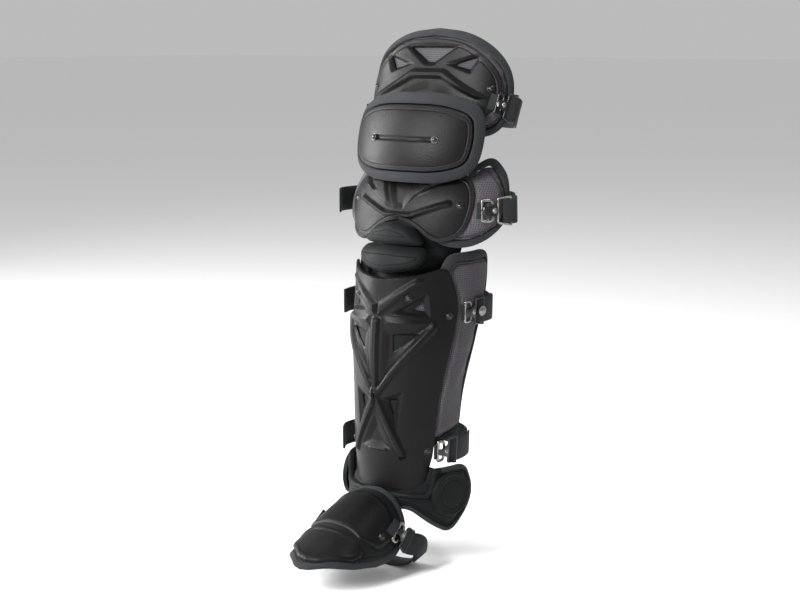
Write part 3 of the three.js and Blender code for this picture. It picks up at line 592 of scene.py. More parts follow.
def knitted_mesh(colours, sizes):
    """Polyester spacer mesh, warp knitted with open round holes over foam: matt mid grey whose
    holes read as dark specks; seams follow the edge."""
    material, tree, shader = new_material("warp_knitted_spacer_mesh")
    place = surface_millimetres(tree)
    pitch = sizes.mesh_pitch * 1000
    # Holes are drawn a little wider than the real 1.5 mm so that they show
    holes = add_node(tree, "ShaderNodeTexVoronoi", {"Vector": place, "Scale": 1 / pitch,
                                                    "Randomness": 0.18}, voronoi_dimensions="2D")
    open_part = ramp(tree, holes, 0.16, 0.34, 0.0, 1.0)
    soil = cloudy(tree, place, 0.035, 3.0)
    tone = blend(tree, soil, shade(colours.mesh, 0.8), shade(colours.mesh, 1.18))
    tone = blend(tree, open_part, shade(colours.mesh, 0.33), tone)
    edge = carried(tree, "edge_mm")
    seam = groove(tree, edge, 12.5, 1.3)
    thread = stitch_row(tree, edge, carried(tree, "along_mm"), 10.6, sizes.stitch * 1000)
    tone = blend(tree, seam, tone, shade(colours.mesh, 0.3))
    tone = blend(tree, thread, tone, shade(colours.mesh, 0.6))
    rise = reckon(tree, "ADD", reckon(tree, "MULTIPLY_ADD", seam, -3.0, open_part), thread)
    feed(tree, shader, {"Base Color": tone, "Normal": relief(tree, rise, 0.7, 0.0005),
                        "Roughness": 0.82, "Sheen Weight": 0.08, "Sheen Roughness": 0.5,
                        "Specular IOR Level": 0.12, "IOR": 1.5})
    return material


def woven_strip(name, colour, pick, row, thread_at, sizes, roughness, sheen):
    """Woven polyester strip: picks across it laid as bricks of pick by row millimetres, with a
    stitched row at a distance round its section, and darker threads where they dip."""
    material, tree, shader = new_material(name)
    place = surface_millimetres(tree)
    weave = add_node(tree, "ShaderNodeTexBrick", {
        "Vector": place, "Scale": 1.0, "Mortar Size": 0.22, "Mortar Smooth": 0.9,
        "Brick Width": pick, "Row Height": row, "Color1": (1, 1, 1, 1),
        "Color2": (0.6, 0.6, 0.6, 1), "Mortar": (0, 0, 0, 1)}, offset=0.5)
    soil = cloudy(tree, place, 0.09, 4.0)
    mortar = weave.outputs["Fac"]
    tone = blend(tree, soil, shade(colour, 0.75), shade(colour, 1.3))
    tone = blend(tree, mortar, tone, shade(colour, 0.35))
    parts = add_node(tree, "ShaderNodeSeparateXYZ", {0: place})
    thread = stitch_row(tree, parts.outputs[1], parts.outputs[0], thread_at,
                        sizes.stitch * 1000)
    tone = blend(tree, thread, tone, shade(colour, 0.45))
    bump = relief(tree, reckon(tree, "SUBTRACT", thread, mortar), 0.8, 0.0004)
    feed(tree, shader, {"Base Color": tone, "Normal": bump, "Roughness": roughness,
                        "Sheen Weight": sheen, "Specular IOR Level": 0.12, "IOR": 1.5})
    return material


def coated_fabric(base, name, seam_at):
    """Polyurethane-coated knit over foam, hot pressed: near-black, soft sheen, a fine leather
    grain and a pressed line parallel to the edge."""
    material, tree, shader = new_material(name)
    place = add_node(tree, "ShaderNodeTexCoord").outputs["Object"]
    grain = add_node(tree, "ShaderNodeTexVoronoi", {"Vector": place, "Scale": 900.0},
                     feature="SMOOTH_F1")
    cloud = cloudy(tree, place, 35.0, 5.0)
    line = groove(tree, carried(tree, "edge_mm"), seam_at, 1.2)
    tone = blend(tree, cloud, shade(base, 0.75), shade(base, 1.4))
    tone = blend(tree, line, tone, shade(base, 0.3))
    bump = relief(tree, reckon(tree, "MULTIPLY_ADD", line, -4.0, grain), 0.4, 0.0004)
    rough = ramp(tree, cloud, 0.3, 0.7, 0.5, 0.68)
    feed(tree, shader, {"Base Color": tone, "Roughness": rough, "Normal": bump,
                        "Sheen Weight": 0.02, "Specular IOR Level": 0.12, "IOR": 1.48})
    return material


def hard_metal(name, colour, metallic, roughness, scale):
    """Bent steel wire or stamped sheet: nickel plate keeps sharp bright glints, black powder
    coat has softer ones; both are slightly uneven and rubbed."""
    material, tree, shader = new_material(name)
    place = add_node(tree, "ShaderNodeTexCoord").outputs["Object"]
    cloud = cloudy(tree, place, scale, 5.0)
    tone = blend(tree, cloud, shade(colour, 0.8), shade(colour, 1.15))
    rough = ramp(tree, cloud, 0.3, 0.7, roughness - 0.06, roughness + 0.1)
    feed(tree, shader, {"Base Color": tone, "Roughness": rough, "Metallic": metallic,
                        "Normal": relief(tree, cloud, 0.15, 0.0002)})
    return material


def finish(name):
    """A material by its short name, made when it is first asked for"""
    scene = bpy.context.scene
    colours, sizes = scene.legguard_colours, scene.legguard_sizes
    makers = {
        "plate": lambda: moulded_plate(colours, sizes, False),
        "sewn_plate": lambda: moulded_plate(colours, sizes, True),
        "mesh": lambda: knitted_mesh(colours, sizes),
        "lining": lambda: coated_fabric(colours.lining, "brushed_nylon_lining", 18.0),
        "soft": lambda: coated_fabric(colours.soft, "pressed_polyurethane_fabric", 9.0),
        "foot": lambda: coated_fabric(colours.soft, "laminated_foot_fabric", 12.0),
        "tape": lambda: woven_strip("woven_polyester_edge_tape", colours.tape, 1.5, 0.9, 6.2,
                                    sizes, 0.75, 0.06),
        "webbing": lambda: woven_strip("woven_elastic_webbing", colours.webbing,
                                       sizes.webbing_pitch * 1000, 1.3, 2.6, sizes, 0.7, 0.06),
        "steel": lambda: hard_metal("nickel_plated_steel_wire", colours.steel, 1.0, 0.26, 90.0),
        "coated": lambda: hard_metal("black_powder_coated_steel", colours.coated, 0.0, 0.2,
                                     140.0),
    }
    if name not in FINISHES:
        FINISHES[name] = makers[name]()
    return FINISHES[name]


FINISHES = {}


def mirrored(reliefs):
    """The reliefs of the right half with their mirror images"""
    return reliefs + [(height, slope, [(-a, u, r) for a, u, r in reversed(corners)])
                      for height, slope, corners in reliefs]


# Moulded plates. Each relief is a height, a slope and its corners: the height grows from the
# corners' outline inward with the slope, and a negative one sinks.
PLATES = {
    "thigh_shell": {
        "limb": "thigh", "finish": "sewn_plate", "edge": 1.4,
        "holes": [
            [(-36, 286, 1), (-6, 270, 1), (6, 270, 1), (36, 286, 1)],
            [(38, 267, 1), (59, 262, 1), (68, 276, 1)],
            [(-68, 276, 1), (-59, 262, 1), (-38, 267, 1)]],
        "reliefs": [
            (3.6, 0.8, [(0, 251, 0), (24, 251, 3), (72, 229, 3), (84, 231, 3), (28, 263, 4),
                        (-28, 263, 4), (-84, 231, 3), (-72, 229, 3), (-24, 251, 3)]),
            (-3.4, 0.7, [(-50, 290.5, 1), (-9, 265.5, 1), (9, 265.5, 1), (50, 290.5, 1)]),
            (-3.4, 0.7, [(24, 268.5, 1), (62, 256.5, 1), (77, 283, 1)]),
            (-3.4, 0.7, [(-77, 283, 1), (-62, 256.5, 1), (-24, 268.5, 1)]),
            (-2.4, 0.25, [(-58, 214, 6), (58, 214, 6), (40, 240, 6), (0, 250, 6),
                          (-40, 240, 6)])]},
    "knee_cap_shell": {
        "limb": "cap", "finish": "sewn_plate", "edge": 1.6, "holes": [],
        "reliefs": [
            (-2.0, 0.7, [(-48, 182.5, 2), (48, 182.5, 2), (48, 189.5, 2), (-48, 189.5, 2)]),
            (1.1, 0.35, [(-41, 186, 1), (40, 183.6, 1), (40, 186.8, 1), (-41, 188.6, 1)])]},
    "lower_knee_shell": {
        "limb": "knee", "finish": "sewn_plate", "edge": 1.6,
        "holes": [],
        "reliefs": [
            (3.2, 0.9, [(0, 97, 0), (24, 97, 3), (80, 114, 2), (76, 121, 2), (24, 106, 3),
                        (-24, 106, 3), (-76, 121, 2), (-80, 114, 2), (-24, 97, 3)]),
            (-3.4, 0.45, [(-9, 107, 1), (9, 107, 1), (24, 147, 1), (-40, 147, 1)]),
            (-3.4, 0.9, [(28, 124, 1), (60, 135, 1), (84, 144, 1), (44, 138, 1)]),
            (-3.4, 0.9, [(-84, 144, 1), (-88, 139, 1), (-58, 125, 1), (-48, 128, 1)]),
            (2.4, 0.5, [(11, 110, 1), (28, 122, 1), (86, 146, 1), (30, 147, 1)]),
            (2.4, 0.5, [(-86, 131, 1), (-28, 110, 1), (-12, 110, 1), (-46, 147, 1)])]},
    "shin_shell": {
        "limb": "shin", "finish": "plate", "edge": 1.5,
        "holes": [
            [(38, 0, 1), (51, -2, 1), (48, 8, 1)], [(-48, 8, 1), (-51, -2, 1), (-38, 0, 1)],
            [(20, -29, 1), (49, -27, 1), (22, -48, 1)],
            [(-22, -48, 1), (-49, -27, 1), (-20, -29, 1)],
            [(19, -103, 1), (33, -103, 1), (27, -121, 1)],
            [(-27, -121, 1), (-33, -103, 1), (-19, -103, 1)]],
        "reliefs": mirrored([
            (3.6, 0.9, [(0, -8, 0), (6, -8, 0), (48, 33, 3), (40, 37, 3), (0, 6, 0)]),
            (3.8, 0.9, [(0, -104, 0), (8, -100, 0), (70, -22, 4), (62, -10, 4), (0, -92, 0)]),
            (3.4, 0.9, [(0, -92, 0), (6, -98, 0), (50, -168, 4), (38, -172, 4), (0, -112, 0)]),
            (-3.6, 0.9, [(14, -5, 1), (58, -9, 1), (51, 19, 1)]),
            (-3.6, 0.42, [(8, -22, 1), (8, -84, 1), (62, -17, 1)]),
            (-3.6, 0.5, [(8, -101, 1), (33, -141, 1), (40, -92, 1)]),
            (1.8, 0.35, [(8, -8, 1), (58, -13, 1), (60, -17, 1), (8, -21, 1)])])
        + [(3.6, 1.2, [(-5, -98, 1), (5, -98, 1), (5.5, -10, 1), (-5.5, -10, 1)]),
           (-3.4, 0.4, [(-28, -160, 1), (28, -160, 1), (0, -120, 1)]),
           (1.6, 0.9, [(-14, -163, 1), (22, -161.5, 1), (22, -158.5, 1), (-14, -160, 1)])]},
    "instep_plate": {
        "limb": "foot", "finish": "plate", "edge": 1.2, "holes": [], "reliefs": [], "beaded": True},
    "toe_plate": {
        "limb": "foot", "finish": "plate", "edge": 1.2, "holes": [], "reliefs": [], "beaded": True},
}


def plate_lift(places, depth, plate):
    """Lift of a plate's face: reliefs summed, a raised bead along a beaded rim, all fading
    towards the rim, which rolls over along a quarter circle."""
    lift = np.zeros(len(places))
    for height, slope, corners in plate["reliefs"]:
        inside = np.maximum(nearest(places, outline_of(corners, 4.0))[0], 0)
        step = np.minimum(abs(height), slope * inside)
        lift += math.copysign(1, height) * step
    if plate.get("beaded"):
        lift += 1.2 * np.exp(-((depth - 3.4) / 1.5) ** 2)
    lift *= np.clip(depth / 7, 0, 1)
    edge = plate["edge"]
    roll = np.clip(1 - depth / edge, 0, 1)
    return np.maximum(lift, -PLATE_SINK) - edge * (1 - np.sqrt(1 - roll ** 2))


class LEGGUARD_OT_plates(bpy.types.Operator):
    """Makes the moulded plates: thigh, knee cap, lower knee, shin, instep and toe"""
    bl_idname = "legguard.plates"
    bl_label = "Moulded plates"

    def execute(self, context):
        for name, plate in PLATES.items():
            outline = outline_named(name)
            holes = [outline_of(corners, 2.0) for corners in plate["holes"]]
            grid, quads = trimmed_grid(outline, holes, PLATE_STEP)
            depth = nearest(grid, outline)[0]
            rim = depth.copy()
            for hole in holes:
                rim = np.minimum(rim, -nearest(grid, hole)[0])
            lift = plate_lift(grid, np.maximum(depth, 0), plate)
            soften = np.clip(1 - np.maximum(rim, 0) / plate["edge"], 0, 1)
            lift -= np.where(rim < depth, 0.7 * soften ** 2, 0)
            back = np.minimum(lift - 1.4, -PLATE)
            outer = on_limb(plate["limb"], grid, lift)
            inner = on_limb(plate["limb"], grid, back)
            points, faces = closed_slab(grid, quads, outer, inner)
            piece = mesh_piece(name, points, faces, [finish(plate["finish"])],
                               [name])
            mark_surface(piece.data, plate["limb"], outline)
            piece.data.set_sharp_from_angle(angle=math.radians(25))
        # A black sheet stands for the shade inside the shin plate's lower openings
        self.shade_sheet()
        return {"FINISHED"}

    def shade_sheet(self):
        """Painted shade: a black sheet behind the lower openings of the shin plate, standing for the shade
        inside them
        """
        outline = outline_of(both_sides([(0, -150, 0), (44, -150, 8), (60, -20, 8), (0, -18, 0)]))
        grid, quads = trimmed_grid(outline, [], 4.0)
        outer, inner = (on_limb("shin", grid, lift) for lift in (-5.1, -5.5))
        points, faces = closed_slab(grid, quads, outer, inner)
        piece = mesh_piece("shin_shell_shade_sheet", points, faces, [finish("soft")], [])
        mark_surface(piece.data, "shin", outline)


# Pads. Columns: pad, limb, outer lift, inner lift, plate over it, finish, fill
PADS = [
    ("thigh_pad", "thigh", -3.6, -14.5, "thigh_shell", "mesh", 0.6),
    ("knee_cap_pad", "cap", -4.2, -11.8, "knee_cap_shell", "soft", 0.5),
    ("lower_knee_pad", "knee", -3.8, -12.5, "lower_knee_shell", "mesh", 0.6),
    ("shin_pad", "shin", -3.8, -13.5, "shin_shell", "mesh", 0.6),
]


def pad_start(name, limb, outer, inner):
    """The pad before it swells: a slab inside its tape, a little thinner than the pad, remeshed
    into even voxels"""
    outline = inset(outline_named(name), TAPE * 0.85)
    grid, quads = trimmed_grid(outline, [], PAD_STEP)
    depth = np.maximum(nearest(grid, outline)[0], 0)
    pinch = 1.5 * np.clip(1 - depth / 12, 0, 1) ** 2
    points, faces = closed_slab(grid, quads, on_limb(limb, grid, outer - pinch),
                                on_limb(limb, grid, inner + pinch))
    mesh = bpy.data.meshes.new(name + "_start")
    mesh.from_pydata(points * 0.001, [], faces.tolist())
    body = bpy.data.objects.new(name + "_start", mesh)
    bpy.context.scene.collection.objects.link(body)
    remesh = body.modifiers.new("even", "REMESH")
    remesh.mode = "VOXEL"
    remesh.voxel_size = PAD_STEP * 0.001
    bake_modifiers(body)
    return body


def bake_modifiers(body):
    """Puts the evaluated mesh in place of the modifiers"""
    context = bpy.context
    context.view_layer.update()
    made = bpy.data.meshes.new_from_object(body.evaluated_get(
        context.evaluated_depsgraph_get()))
    body.modifiers.clear()
    body.data = made


def swell(bodies):
    """Blows the pads up with cloth under inner pressure and no gravity, all in one run of
    twenty frames, and returns how far each skin point went, at most the allowed swell"""
    before = [coordinates(b.data) for b in bodies]
    for body in bodies:
        cloth = body.modifiers.new("swell", "CLOTH")
        cloth.settings.use_pressure = True
        cloth.settings.uniform_pressure_force = 4
        cloth.settings.quality = 5
        cloth.settings.effector_weights.gravity = 0
        cloth.point_cache.frame_end = 20
    scene = bpy.context.scene
    for number in range(1, 21):
        scene.frame_set(number)
    depsgraph = bpy.context.evaluated_depsgraph_get()
    moves = []
    for body, start in zip(bodies, before):
        shaped = bpy.data.meshes.new_from_object(body.evaluated_get(depsgraph))
        move = coordinates(shaped) - start
        far = np.linalg.norm(move, axis=1)[:, None]
        moves.append(move * np.minimum(1, SWELL * 0.001 / np.maximum(far, 1e-9)))
        body.modifiers.clear()
    scene.frame_set(1)
    return moves


def beyond(limb, points, level):
    """For points in metres: their places on a limb, the outward directions there, and how far
    the points stand outside a lift in millimetres"""
    place = limb_place(limb, points * 1000)
    middle = on_limb(limb, place, level) * 0.001
    outward = on_limb(limb, place, 1.0) - on_limb(limb, place)
    return place, outward, ((points - middle) * outward).sum(1)


class LEGGUARD_OT_pads(bpy.types.Operator):
    """Makes the padded wings behind the plates and swells them as cloth over foam"""
    bl_idname = "legguard.pads"
    bl_label = "Padded wings"

    def execute(self, context):
        bodies = [pad_start(name, limb, outer, inner) for name, limb, outer, inner, *_ in PADS]
        moves = swell(bodies)
        for body, move, (name, limb, outer, inner, plate, skin, fill) in zip(bodies, moves,
                                                                            PADS):
            start = coordinates(body.data)
            place, outward, height = beyond(limb, start, (outer + inner) / 2)
            front = height > 0
            covered = nearest(place, outline_named(plate))[0]
            edge = nearest(place, outline_named(name))[0]
            free = np.clip(-covered / 7, 0, 1) * np.clip((edge - TAPE * 0.9) / 6, 0, 1)
            # The outer skin swells only beside the plate, the lining less but everywhere
            share = np.where(front, free, LINING_SWELL * np.clip((edge - TAPE) / 10, 0, 1))
            crease = CREASE * np.sin(place[:, 0] / 17 + place[:, 1] / 23) * np.sin(
                place[:, 1] / 13 - place[:, 0] / 31)
            pressed = np.where(front, PRESSED * np.clip(covered / 5, 0, 1), 0)
            shaped = start + move * share[:, None] + outward * (
                (crease * free - pressed) * 0.001)[:, None]
            body.data.vertices.foreach_set("co", shaped.astype(np.float32).ravel())
            smooth = body.modifiers.new("even", "SUBSURF")
            smooth.levels = smooth.render_levels = 1
            bake_modifiers(body)
            mesh = body.data
            mesh.name = name
            body.name = name
            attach(body, "root")
            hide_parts(name)
            mark_surface(mesh, limb, outline_named(name))
            mesh.materials.clear()
            mesh.materials.append(finish(skin))
            mesh.materials.append(finish("lining"))
            middles = np.empty(len(mesh.polygons) * 3, np.float32)
            mesh.polygons.foreach_get("center", middles)
            middles = middles.reshape(-1, 3).astype(float)
            inside = beyond(limb, middles, (outer + inner) / 2)[2] < 0
            mesh.polygons.foreach_set("material_index", inside.astype(np.int32))
            mesh.polygons.foreach_set("use_smooth", np.ones(len(mesh.polygons), bool))
        return {"FINISHED"}


# Edge tapes. Columns: pad, limb, width, highest lift, lowest lift
TAPES = [
    ("thigh", "thigh", TAPE, -1.4, -17), ("knee_cap", "cap", CAP_TAPE, -0.2, -13.5),
    ("lower_knee", "knee", TAPE, -3.6, -15.6), ("shin", "shin", TAPE, -3.6, -16.6),
    ("ankle", "ankle", 5.0, 1.2, -7.7), ("foot", "foot", TAPE, -3.6, -7.8),
]


def tape_profile(width, top, bottom):
    """Folded tape: half a superellipse round the pad's edge and a straight inner wall. Columns:
    distance from the edge and lift."""
    turn = np.linspace(-math.pi / 2, math.pi / 2, 17)
    power = 0.75
    high, mid = (top - bottom) / 2, (top + bottom) / 2
    distance = width * (1 - np.abs(np.cos(turn)) ** power)
    lift = mid - high * np.sign(np.sin(turn)) * np.abs(np.sin(turn)) ** power
    return distance, lift


def sweep_outline(limb, outline, distance, lift, flat=None):
    """A profile carried round an outline on a limb or on a flat place"""
    loops = [inset(outline, d) for d in distance]
    if flat is None:
        columns = [on_limb(limb, o, h) for o, h in zip(loops, lift)]
    else:
        columns = [flat(o[:, 0], o[:, 1], h) for o, h in zip(loops, lift)]
    return np.stack(columns, 1)


def map_sweep(piece, grid, uv, closed):
    """Surface map of a swept piece: metres along its path and round its profile"""
    rows = np.vstack([grid, grid[:1]]) if closed else grid
    steps = np.linalg.norm(np.diff(rows, axis=0), axis=2).mean(1)
    along = np.concatenate([[0], np.cumsum(steps)])
    ring = np.vstack([grid[0], grid[0][:1]])
    around = np.concatenate([[0], np.cumsum(np.linalg.norm(np.diff(ring, axis=0), axis=1))])
    found = np.stack([np.interp(uv[:, 0], np.arange(len(along)), along),
                      np.interp(uv[:, 1], np.arange(len(around)), around)], -1) * 0.001
    corners = len(piece.data.loops)
    extra = np.zeros((corners - len(found), 2))
    set_uv(piece.data, np.concatenate([found, extra]))


class LEGGUARD_OT_tapes(bpy.types.Operator):
    """Sews the woven tape round the pads' edges"""
    bl_idname = "legguard.tapes"
    bl_label = "Edge tapes"

    def execute(self, context):
        for name, limb, width, top, bottom in TAPES:
            outline = evenly(outline_named(name + "_pad"), 2.2)
            grid = sweep_outline(limb, outline, *tape_profile(width, top, bottom))
            grid = grid[:, ::-1]
            faces, uv = swept(grid, True)
            piece = mesh_piece(name + "_binding", grid.reshape(-1, 3), faces[:, ::-1],
                               [finish("tape")], [name + "_binding"])
            map_sweep(piece, grid, uv.reshape(-1, 4, 2)[:, ::-1].reshape(-1, 2), True)
            if name == "ankle":
                # Beside the shin plate the edge is the pad's own cloth, turned over
                piece.data.materials.append(finish("soft"))
                high = (outline[:, 1] > -213) & (np.abs(outline[:, 0]) < 66)
                turned_over = np.repeat(high, grid.shape[1]).astype(np.int32)
                piece.data.polygons.foreach_set("material_index", turned_over)
        return {"FINISHED"}


# Soft panels. Columns: panel, limb, width kept free at the edge for its tape, inner lift,
# outer lift at the rim, crown, reach of the crown from the rim, height of its wrinkles, finish
PANELS = [
    ("flex_upper", "flex", 0, -12, -4.5, 6.0, 9, 0.0, "soft"),
    ("flex_lower", "flex", 0, -9, -4.8, 7.5, 10, 0.0, "soft"),
    ("flex_panel", "gusset", 0, -3, -0.6, 0.8, 9, 0.7, "soft"),
    ("ankle_pad", "ankle", 5.2, -6.6, -0.8, 2.0, 12, 0.5, "soft"),
    ("foot_pad", "foot", TAPE + 0.2, -6.6, -3.6, 1.4, 14, 0.35, "foot"),
]


class LEGGUARD_OT_panels(bpy.types.Operator):
    """Makes the soft panels: the flexing pieces below the knee, the ankle pad with its wings
    and the foot cover"""
    bl_idname = "legguard.panels"
    bl_label = "Soft panels"

    def execute(self, context):
        for name, limb, edge, inner, rim, crown, reach, folds, skin in PANELS:
            outline = outline_named(name)
            trimmed = inset(outline, edge) if edge else outline
            grid, quads = trimmed_grid(trimmed, [], 1.6)
            depth = np.clip(nearest(grid, trimmed)[0] / reach, 0, 1)
            swelling = crown * (1 - (1 - depth) ** 2.4)
            wrinkle = folds * (np.sin(grid[:, 1] / 2.9 + np.sin(grid[:, 0] / 9) * 1.7)
                               + 0.6 * np.sin(grid[:, 0] / 5.1 + grid[:, 1] / 7.3))
            lift = rim + swelling + wrinkle * depth
            points, faces = closed_slab(grid, quads, on_limb(limb, grid, lift),
                                        on_limb(limb, grid, inner + 0.4 * wrinkle * depth))
            piece = mesh_piece(name, points, faces, [finish(skin)], [name])
            mark_surface(piece.data, limb, outline)
            piece.data.set_sharp_from_angle(angle=math.radians(50))
        self.ankle_skirt()
        return {"FINISHED"}

    def ankle_skirt(self):
        """Cloth between the shin plate's back and the ankle pad: a sheet ruled from a line
        behind the plate's lower edge to one behind the pad's upper edge"""
        upper = both_sides([(0, -197, 0), (56, -197, 0), (72, -192, 0), (78, -180, 0)])
        lower = both_sides([(0, -217, 0), (46, -217, 0), (60, -208, 0), (64, -183, 0)])
        rows = []
        for limb, corners, lift in (("shin", upper, -4.6), ("ankle", lower, -3.2)):
            line = np.array(corners, float)[:, :2]
            line = line[np.argsort(line[:, 0])]
            at = np.linspace(0, len(line) - 1, 91)
            across = np.interp(at, np.arange(len(line)), line[:, 0])
            up = np.interp(at, np.arange(len(line)), line[:, 1])
            rows.append([limb_point(limb, across, up, lift - sunk) for sunk in (0, 1.6)])
        share = np.linspace(0, 1, 9)[:, None, None]
        sheet = [rows[0][k] * (1 - share) + rows[1][k] * share for k in (0, 1)]
        wide = sheet[0].shape[1]
        v, u = np.meshgrid(np.arange(8), np.arange(wide - 1), indexing="ij")
        first = (v * wide + u).ravel()
        quads = np.stack([first, first + wide, first + wide + 1, first + 1], -1)
        points, faces = closed_slab(sheet[0].reshape(-1, 3), quads, sheet[0].reshape(-1, 3),
                                    sheet[1].reshape(-1, 3))
        piece = mesh_piece("ankle_pad_skirt", points, faces, [finish("soft")], [])
        mark_surface(piece.data, "ankle", outline_named("ankle_pad"))


def turned(flat, radii, lifts, count=40):
    """A profile of radii and lifts turned round the middle of a flat place"""
    turn = np.arange(count) * 2 * math.pi / count
    u = np.cos(turn)[:, None] * np.asarray(radii)[None]
    v = np.sin(turn)[:, None] * np.asarray(radii)[None]
    return flat(u, v, np.broadcast_to(np.asarray(lifts, float), u.shape))


def turned_piece(name, flat, profile, skin, stands_for, count=40):
    """A closed turned body whose profile runs from the inner rim up and over to the middle"""
    radii, lifts = zip(*profile)
    grid = turned(flat, radii, lifts, count)
    rows, around = grid.shape[:2]
    i, k = np.meshgrid(np.arange(rows), np.arange(around - 1), indexing="ij")
    n = (i + 1) % rows
    faces = np.stack([i * around + k, n * around + k, n * around + k + 1, i * around + k + 1],
                     -1).reshape(-1, 4)
    ends = [[r * around for r in range(rows)][::-1],
            [r * around + around - 1 for r in range(rows)]]
    piece = mesh_piece(name, grid.reshape(-1, 3), faces, [finish(skin)], stands_for, ends)
    piece.data.set_sharp_from_angle(angle=math.radians(50))
    return piece


# Rivets. Columns: place, limb, across, up, seat
RIVETS = [
    ("thigh", "thigh", 85, 241, 0.2), ("cap", "cap", 50, 186, 0.0),
    ("knee", "knee", 88, 114, 0.0), ("shin_top", "shin", 33, 13, 0.4),
    ("shin_mid", "shin", 79, -8, 0.2), ("shin_low", "shin", 77, -162, 0.0),
    ("instep", "foot", 40, -114, 0.0),
]
# Head of a rivet: a pressed washer and a round dome. Columns: radius, height.
RIVET_PROFILE = [(4.4, -0.9), (4.4, 0.4), (4.1, 0.75), (3.6, 0.8), (3.3, 0.7), (3.1, 1.2),
                 (2.6, 1.9), (1.8, 2.4), (0.9, 2.7), (0.2, 2.75)]
# Moulded disc on an ankle wing: a rolled rim, a shallow valley and a flat face
DISC_PROFILE = [(DISC_RADIUS, -2.0), (DISC_RADIUS, 1.6), (25.0, 2.9), (24.0, 3.6), (22.6, 3.6), (21.8, 3.2),
                (21.0, 3.1), (12.0, 3.5), (4.0, 3.7), (0.4, 3.7)]


class LEGGUARD_OT_fittings(bpy.types.Operator):
    """Sets the rivets in the plates and the moulded discs on the ankle wings"""
    bl_idname = "legguard.fittings"
    bl_label = "Rivets and discs"

    def execute(self, context):
        for side, sign in (("left", -1), ("right", 1)):
            for name, limb, across, up, seat in RIVETS:
                flat = flat_place(limb, sign * across, up, seat)
                node = f"rivet_{name}_{side}"
                turned_piece(node, flat, RIVET_PROFILE, "coated", [node], 28)
            flat = flat_place("ankle", sign * 74, -212, 0.6)
            node = f"ankle_disc_{side}"
            disc = turned_piece(node, flat, DISC_PROFILE, "soft", [node], 72)
            mesh = disc.data
            reach = np.linalg.norm(coordinates(mesh) * 1000 - flat(0, 0, 0), axis=1)
            set_attribute(mesh, "edge_mm", DISC_RADIUS - reach)
        return {"FINISHED"}


# Straps and their hooks, as on the frame. The way round is listed from the hook past the right
# edge and the back of the leg to the fixed end on the left.
STRAPS = [
    {"name": "thigh", "limb": "thigh", "across": 91, "up": 226, "lift": 5.5, "roll": -0.3,
     "turn": 0.3, "width": 28, "tab": 6, "seat": 0.4, "reach": 10, "frame": 12,
     "axis": (0, 0, 1), "metal": "coated", "ring": "coated",
     "way": [(92, 70, 211), (75, 90, 209), (44, 111, 208), (0, 121, 208), (-46, 113, 208),
             (-79, 97, 208), (-100, 74, 207), (-104, 53, 206), (-97, 38.5, 206)]},
    {"name": "knee", "limb": "knee", "across": 108, "up": 109, "lift": 0.6, "roll": 0,
     "turn": 0.08, "width": 28, "tab": 3.5, "seat": -3, "reach": 17, "frame": 17,
     "axis": (0, 0, 1), "metal": "steel",
     "way": [(99, 58, 109), (82, 82, 109), (44, 104, 109), (0, 112, 109), (-46, 104, 109),
             (-86, 80, 109), (-108, 40, 109), (-110, 6, 109), (-101, -8, 109)]},
    {"name": "upper_shin", "limb": "shin", "across": 98, "up": -6, "lift": 0.6, "roll": 0,
     "turn": 0.08, "width": 28, "tab": 3.5, "seat": -3, "reach": 13, "frame": 15,
     "axis": (0, 0, 1), "metal": "coated", "snap": 5.8,
     "way": [(75, 46, -6), (61, 62, -6), (36, 78, -6), (0, 84, -6), (-36, 78, -6),
             (-66, 60, -6), (-80, 32, -6), (-85, -6, -6), (-80, -26, -6)]},
    {"name": "lower_shin", "limb": "shin", "across": 92, "up": -164, "lift": 0.6, "roll": 0,
     "turn": 0.08, "width": 28, "tab": 3.5, "seat": -3, "reach": 12, "frame": 14,
     "axis": (0, 0, 1), "metal": "coated",
     "way": [(62, 16, -164), (54, 32, -164), (34, 48, -164), (0, 56, -164), (-34, 50, -164),
             (-58, 32, -164), (-72, 2, -164), (-75, -30, -164), (-66, -46, -164)]},
    {"name": "foot", "limb": "foot", "across": 39, "up": -93, "lift": 2, "roll": 0.7,
     "turn": 0.2, "width": 25, "tab": 7, "seat": 0, "reach": 11, "frame": 12,
     "axis": (0, 1, 0), "metal": "coated",
     "way": [(57, -62, -266), (51, -56, -280), (38, -54, -291), (18, -54, -295),
             (0, -54, -295), (-24, -55, -294), (-48, -64, -286), (-60, -88, -262),
             (-57, -104, -246)]},
]


def smooth_path(points, step):
    """Centripetal spline through points, in even steps: each stretch blends four points with
    knots spaced by the square root of their distances."""
    p = np.array(points, float)
    p = np.vstack([2 * p[0] - p[1], p, 2 * p[-1] - p[-2]])
    knots = np.concatenate([[0], np.cumsum(np.sqrt(np.linalg.norm(np.diff(p, axis=0), axis=1)))])
    parts = []
    for i in range(1, len(p) - 2):
        t = np.linspace(knots[i], knots[i + 1], 24, endpoint=i == len(p) - 3)[:, None]
        k = knots[i - 1:i + 3]
        a = [((k[j + 1] - t) * p[i - 1 + j] + (t - k[j]) * p[i + j]) / (k[j + 1] - k[j])
             for j in range(3)]
        b = [((k[j + 2] - t) * a[j] + (t - k[j]) * a[j + 1]) / (k[j + 2] - k[j])
             for j in range(2)]
        parts.append(((k[2] - t) * b[0] + (t - k[1]) * b[1]) / (k[2] - k[1]))
    line = np.concatenate(parts)
    along = np.concatenate([[0], np.cumsum(np.linalg.norm(np.diff(line, axis=0), axis=1))])
    at = np.linspace(0, along[-1], math.ceil(along[-1] / step) + 1)
    return np.stack([np.interp(at, along, line[:, c]) for c in range(3)], -1), at


def unit(vectors):
    """The same directions with length 1"""
    return vectors / np.linalg.norm(vectors, axis=-1, keepdims=True)


